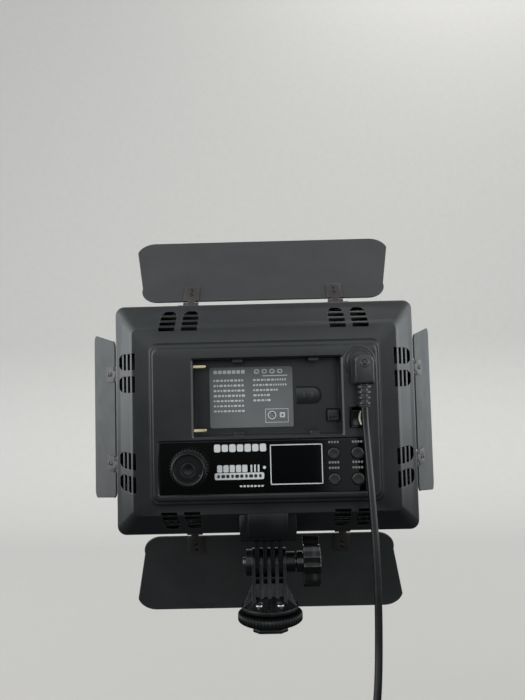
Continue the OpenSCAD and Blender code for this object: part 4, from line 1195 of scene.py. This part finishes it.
def makeKnob(s, panel):
    profile = [(8.2, 0.05), (9.2, 0.0), (9.55, 0.12), (9.75, 0.4), (9.75, 4.2), (9.6, 4.55),
               (9.2, 4.75), (8.95, 4.8), (9.1, 4.9), (9.05, 5.3), (8.9, 6.1), (8.6, 6.7),
               (8.3, 7.2), (8.12, 7.43), (7.95, 7.5), (7.75, 7.5), (7.6, 7.42), (7.45, 7.2),
               (7.2, 7.12), (6.0, 7.1), (4.2, 7.12), (3.85, 7.12), (3.75, 7.0), (3.5, 6.94),
               (3.3, 7.0), (3.2, 7.14), (2.9, 7.15), (2.2, 7.05), (1.6, 6.9), (1.0, 6.78),
               (0.4, 6.7), (0, 6.68)]

    def flute(a, index):
        return s["depth"] * (math.cos(s["flutes"] * a) - 0.4) * 0.6 if 1 < index < 6 else 0

    space = alongY(panel["knob"][0], -0.3, panel["knob"][1])
    knob = lathe("knobBody", profile, space, s["steps"], flute)
    dot = lathe("knobDot", [(0, 7.2), (0.4, 7.2), (0.56, 7.14), (0.6, 7.0)],
                space @ Matrix.Translation((6.1, -3.1, 0)), 20)
    parts = [painted(knob, "knobPlastic"), painted(dot, "buttonPlastic")]
    return settle(joined("dimmerKnob", parts), "dimmer", None, ("dimmer_knob",), 40)


def makeKeys(s):
    profile = [(0, -4.2), (3.7, -4.2), (3.7, -3.5), (3.05, -3.4), (3.08, -0.1), (3.0, 0.18),
               (2.8, 0.36), (2.5, 0.45), (2.1, 0.48), (1.7, 0.44), (0.9, 0.36), (0, 0.34)]
    for name, kx, kz in (("exit", 0, 0), ("ok", 1, 0), ("coarse", 0, 1), ("scene", 1, 1)):
        key = lathe(name + "_buttonCap", profile, alongY(s["keysX"][kx], 0, s["keysZ"][kz]), 40)
        settle(key, name + "_key", "buttonPlastic", (name + "_button",))


rockerSet = {"place": (48.3, 3.4, 0.8), "tip": 9, "half": 3.95, "wide": 3.1, "front": -3.6,
             "dish": 0.95}


def makeRocker(s):  # dished face tipped to the off side, with a raised curved cream strip on it as painted reflection
    at = headSpace @ Matrix.Translation(s["place"]) @ turned(s["tip"], "X")
    half, wide = s["half"], s["wide"]

    def face(t):
        return s["front"] - s["dish"] * abs(t) ** 1.6

    profile = [(t * half, face(t)) for t in (-1 + k / 6 for k in range(13))]
    profile += [(half, -4.1), (2.6, 1.2), (0, 2.4), (-2.6, 1.2), (-half, -4.1)]
    rings = []
    for x, inset in ((-wide, 0.25), (-wide + 0.2, 0.06), (-wide + 0.45, 0), (wide - 0.45, 0),
                     (wide - 0.2, 0.06), (wide, 0.25)):
        rings.append([(x, y + inset, z * (1 - inset * 0.1)) for z, y in profile])
    rocker = loft("rockerBody", rings, at)
    pin = lathe("rockerPin", [(0.8, -4.1), (0.8, 4.1)], at @ turned(90, "Y"), 20)
    # painted reflection: a cream strip curving down the face
    strip = []
    for k in range(17):
        t = -0.94 + 1.88 * k / 16
        middle, slim = 0.4 + (0.7 - 0.15 * t) * t * t, 0.1 + 0.36 * math.sqrt(1 - t * t)
        y = face(t)
        strip.append([(middle - slim, y + 0.3, t * half), (middle - slim, y - 0.06, t * half),
                      (middle, y - 0.12, t * half), (middle + slim, y - 0.06, t * half),
                      (middle + slim, y + 0.3, t * half)])
    reflectionStrip = loft("rockerReflectionStrip", strip, at)
    parts = [painted(rocker, "rockerGloss"), painted(pin, "steel"), painted(reflectionStrip, "creamReflectionPaint")]
    return settle(joined("powerRocker", parts), "rocker", None, ("power_rocker",))


makePanel(panelSet)
makeDisplay(panelSet)
makeKnob(knobSet, panelSet)
makeKeys(panelSet)
makeRocker(rockerSet)
softCopy("switch_frame", "head", "glossPanel", 0.3)
print("control panel made")

# doors and hinges
tallDoor = {"width": 151, "reach": 61, "corner": 11, "hinge": 44, "drop": 0}
sideDoor = {"width": 95, "reach": 42, "corner": 4, "hinge": 27, "drop": 1.2, "gap": 5.3}
doorSet = {"top": {**tallDoor, "wall": 0, "gap": 3.5, "body": "upper_leaf"},
           "bottom": {**tallDoor, "wall": 180, "gap": 6, "body": "lower_leaf"},
           "left": {**sideDoor, "wall": -90, "body": "left_leaf"},
           "right": {**sideDoor, "wall": 90, "body": "right_leaf"}}
sheetSet = {"start": 2.6, "flare": 8, "y0": -0.2, "y1": 0.8, "arc": 10}
rivetSet = {"radius": 1.4, "first": -7.5, "pitch": 4, "tall": 0.48, "strapY": 28, "strapPitch": 5,
            "strapTall": 0.6}


def hingeSpace(name):
    s = doorSet[name]
    joint = joints[name + "_door_fold"]
    at = headSpace.inverted() @ Vector(joint["pos_m"]) - Vector((0, 0, s["drop"]))
    fixed = headSpace @ Matrix.Translation(at) @ turned(s["wall"], "Y")
    return fixed, fixed @ turned(-joint["range_deg"][0], "X")


def sheetOutline(s, t):
    grow = (s["reach"] - t["start"]) * math.tan(math.radians(t["flare"]))
    c = s["corner"]
    centres = [(s["width"] / 2 - c, -t["start"] - c), (-s["width"] / 2 + c, -t["start"] - c),
               (-s["width"] / 2 - grow + c, -s["reach"] + c),
               (s["width"] / 2 + grow - c, -s["reach"] + c)]
    flare = t["flare"]
    spans = ((-flare, 90), (90, 180 + flare), (180 + flare, 270), (270, 360 - flare))
    points = []
    for (x, z), (a0, a1) in zip(centres, spans):
        for k in range(t["arc"] + 1):
            a = math.radians(a0 + (a1 - a0) * k / t["arc"])
            points.append((x + c * math.cos(a), z + c * math.sin(a)))
    return points


def scaled(points, inset):  # moved in towards the middle by a small amount
    middle = Vector((sum(p[0] for p in points), sum(p[1] for p in points))) / len(points)
    moved = []
    for p in points:
        d = Vector(p) - middle
        moved.append(tuple(middle + d * (1 - inset / d.length)))
    return moved


def makeDoor(name):
    s = doorSet[name]
    _, space = hingeSpace(name)
    points = sheetOutline(s, sheetSet)
    y0, y1 = sheetSet["y0"], sheetSet["y1"]
    rings = [ringAt(scaled(points, inset), y) for y, inset in
             ((y0, 0.34), (y0 + 0.07, 0.12), (y0 + 0.24, 0.0), (y1 - 0.24, 0.0), (y1 - 0.07, 0.12),
              (y1, 0.34))]
    sheet = loft(name + "Sheet", rings, space)
    settle(sheet, s["body"], "doorPaint", (name + "_door",), 50)
    softCopy(name + "_leaves", s["body"], "strapMetal", 0.14)
    rivets = []
    r, tall = rivetSet["radius"], rivetSet["tall"]
    profile = [(0, -0.3), (r * 0.9, -0.3), (r, 0.02), (r * 0.96, 0.14), (r * 0.8, 0.32),
               (r * 0.45, tall - 0.04), (0, tall)]
    for side in (-1, 1):
        for k in (0, 1):
            z = rivetSet["first"] - k * rivetSet["pitch"]
            at = space @ Matrix.Translation((side * s["hinge"], 0, z))
            for y, turn in ((1.6, -90), (-0.2, 90)):  # domed heads on both faces
                head = at @ Matrix.Translation((0, y, 0)) @ turned(turn, "X")
                rivets.append(lathe("rivet", profile, head, 24))
    settle(joined(name + "Rivets", [painted(r, "rivetMetal") for r in rivets]), s["body"],
           None, (name + "_rivets",))


for name in doorSet:
    makeDoor(name)
softCopy("hinge_straps", "head", "strapMetal", 0.14)
softCopy("hinge_pins", "head", "steel", 0.15)


def makeStrapRivets(s):
    rivets = []
    r, tall = s["radius"], s["strapTall"]
    profile = [(0, -0.4), (r - 0.1, -0.4), (r, 0.05), (r - 0.05, 0.2), (r - 0.3, 0.42),
               (0.6, tall - 0.04), (0, tall)]
    for name, door in doorSet.items():
        fixed, _ = hingeSpace(name)
        depth = (fixed.inverted() @ headSpace @ Vector((0, s["strapY"], 0))).y
        for side in (-1, 1):
            for k in (0, 1):
                y = depth + s["strapPitch"] * k
                at = Matrix.Translation((side * door["hinge"], y, 0.8 - door["gap"]))
                rivets.append(painted(lathe("strapRivet", profile, fixed @ at, 24), "rivetMetal"))
    return settle(joined("strapRivets", rivets), "head", None, ("strap_rivets",))


makeStrapRivets(rivetSet)
print("doors and hinges made")

# tilt mount
for node, body, slot, look, width in (  # width of the softened edge in millimetres
        ("upper_bracket", "head", "housing_plastic", "bracketPlastic", 0.45),
        ("bracket_screws", "head", "steel", "steel", 0.2),
        ("finger_base", "base", "knob_plastic", "bracketPlastic", 0.35),
        ("base_screws", "base", "steel", "steel", 0.2),
        ("tilt_nut", "base", "steel", "steel", 0.2),
        ("tilt_bolt", "tilt_clamp", "steel", "darkBolt", 0.4),
        ("tilt_knob", "tilt_clamp", "knob_plastic", "clampGloss", 0.55),
        ("shoe_foot", "base", "knob_plastic", "bracketPlastic", 0.35)):
    softCopy(node, body, look, width)

ringSet = {"radius": 17.6, "low": 4.1, "high": 9.1, "flutes": 60, "fluteDepth": 0.28, "hole": 6.08}


def makeRing(s):
    r, low, high = s["radius"], s["low"], s["high"]
    bore = s["hole"]
    profile = [(bore, low), (bore + 0.3, low), (r - 2.2, low), (r - 1.2, low + 0.2),
               (r - 0.55, low + 0.7), (r - 0.3, low + 1.1), (r - 0.3, high - 1.1),
               (r - 0.6, high - 0.6), (r - 1.3, high - 0.1), (r - 2.0, high), (bore + 0.3, high),
               (bore, high)]

    def flute(a, index):
        return s["fluteDepth"] * math.cos(s["flutes"] * a) if 3 < index < 8 else 0

    ring = lathe("lockRingBody", profile, standSpace, s["flutes"] * 6, flute)
    hole = lathe("ringHole", [(bore, low - 1), (bore, high + 1)], standSpace, 48)
    return settle(carve(ring, hole), "ring", "ringPlastic", ("lock_ring",), 40)


makeRing(ringSet)
print("tilt mount made")

# studio
studioSet = {"floor": -0.18, "wall": 1.9, "bend": 0.7, "bendSteps": 15, "near": -2.6, "wide": 3.4,
             "tall": 3.2, "paint": (0.745, 0.715, 0.68), "patch": (0.725, 0.695, 0.66),
             "paintedNearShade": (0.565, 0.535, 0.508), "nearEnd": -0.2, "grainScale": 60.0,
             "rough": 0.9, "specular": 0.1}  # metres


def makeStudio(s):
    line = [(s["near"], s["floor"]), (s["wall"] - s["bend"], s["floor"])]
    for k in range(1, s["bendSteps"] + 1):
        a = math.pi / 2 * k / s["bendSteps"]
        line.append((s["wall"] - s["bend"] + s["bend"] * math.sin(a),
                     s["floor"] + s["bend"] * (1 - math.cos(a))))
    line.append((s["wall"], s["tall"]))
    points, faces = [], []
    for x in (-s["wide"], s["wide"]):
        points += [(x, y, z) for y, z in line]
    for k in range(len(line) - 1):
        faces.append((k, k + 1, len(line) + k + 1, len(line) + k))
    mesh = bpy.data.meshes.new("studioFloor")
    mesh.from_pydata(points, [], faces)
    floor = bpy.data.objects.new("studioFloor", mesh)
    scene.collection.objects.link(floor)
    for face in mesh.polygons:
        face.use_smooth = True
    paint = bpy.data.materials.new("palePaint")
    paint.use_nodes = True
    tree = paint.node_tree
    shader = tree.nodes["Principled BSDF"]
    grain = placeGroup(tree, grainGroup, Scale=s["grainScale"])
    depth = addNode(tree, "ShaderNodeSeparateXYZ")
    tree.links.new(addNode(tree, "ShaderNodeTexCoord").outputs["Object"], depth.inputs[0])
    # painted shade: the floor colour darkens from the wall towards the camera
    near = remap(tree, depth.outputs["Y"], s["wall"], s["nearEnd"])
    pale = mixColour(tree, s["paint"], s["patch"], grain.outputs["Patch"])
    tree.links.new(mixColour(tree, pale, s["paintedNearShade"], near), shader.inputs["Base Color"])
    shader.inputs["Roughness"].default_value = s["rough"]
    shader.inputs["Specular IOR Level"].default_value = s["specular"]
    mesh.materials.append(paint)
    floor.visible_diffuse = False
    floor.visible_glossy = False
    floor.visible_transmission = True


skySet = {"side": 0.85, "tint": (0.945, 1.0, 1.025), "patch": 0.42, "patchRight": (0.085, 0.12),
          "patchEnd": (0.34, 0.22), "patchLow": (-0.6, -0.3), "patchBehind": (-0.5, -0.85),
          "stops": ((0.0, 0.03), (0.30, 0.03), (0.40, 0.12), (0.46, 0.6), (0.5, 0.95), (0.57, 1.15),
                    (0.68, 0.85), (1.0, 0.40))}


# soft studio surround: dark underfoot, bright around the horizon, brighter to the sides
def makeSky(s):
    world = bpy.data.worlds.new("studioSky")
    world.use_nodes = True
    scene.world = world
    tree = world.node_tree
    background = tree.nodes["Background"]
    split = addNode(tree, "ShaderNodeSeparateXYZ")
    tree.links.new(addNode(tree, "ShaderNodeTexCoord").outputs["Generated"], split.inputs[0])
    ramp = addNode(tree, "ShaderNodeValToRGB")
    ramp.color_ramp.interpolation = "EASE"
    for k, (place, value) in enumerate(s["stops"]):
        point = ramp.color_ramp.elements[k] if k < 2 else ramp.color_ramp.elements.new(place)
        point.position = place
        point.color = (value, value, value, 1)
    tree.links.new(remap(tree, split.outputs["Z"], -1.0, 1.0), ramp.inputs[0])
    side = math2(tree, "MULTIPLY", split.outputs["X"], split.outputs["X"])
    gain = math2(tree, "ADD", math2(tree, "MULTIPLY", side, s["side"]), 1.0)
    # a pale strip behind the camera
    patch = remap(tree, split.outputs["X"], *s["patchRight"], 0, s["patch"])
    for axis, key in (("Z", "patchLow"), ("Y", "patchBehind"), ("X", "patchEnd")):
        patch = math2(tree, "MULTIPLY", patch, remap(tree, split.outputs[axis], *s[key]))
    tinted = addNode(tree, "ShaderNodeVectorMath", operation="SCALE")
    tinted.inputs[0].default_value = s["tint"]
    tree.links.new(math2(tree, "ADD", ramp.outputs[0], patch), tinted.inputs["Scale"])
    tree.links.new(tinted.outputs[0], background.inputs[0])
    tree.links.new(gain, background.inputs[1])


lightSet = {
    "leftWindow": {"place": (-1.5, -0.5, 0.5), "aim": (0, 0, 0.1), "size": (0.9, 1.2),
                   "power": 8.6},
    "rightWindow": {"place": (1.5, -0.5, 0.5), "aim": (0, 0, 0.1), "size": (0.9, 1.2),
                    "power": 6.8},
    "upperKey": {"place": (-0.9, -1.0, 1.3), "aim": (0, 0, 0.1), "size": (0.5, 0.5), "power": 2.4},
    "wallWash": {"place": (1.1, 1.0, 2.9), "aim": (1.1, 1.9, 1.8), "size": (1.6, 0.4),
                 "power": 9.5},
}  # metres and watts


def makeLight(name, s):
    data = bpy.data.lights.new(name, "AREA")
    data.shape = "RECTANGLE"
    data.size, data.size_y = s["size"]
    data.energy = s["power"]
    light = bpy.data.objects.new(name, data)
    turn = (Vector(s["aim"]) - Vector(s["place"])).to_track_quat("-Z", "Y")
    light.matrix_world = Matrix.Translation(s["place"]) @ turn.to_matrix().to_4x4()
    scene.collection.objects.link(light)


makeStudio(studioSet)
makeSky(skySet)
for name, s in lightSet.items():
    makeLight(name, s)
print("studio made")
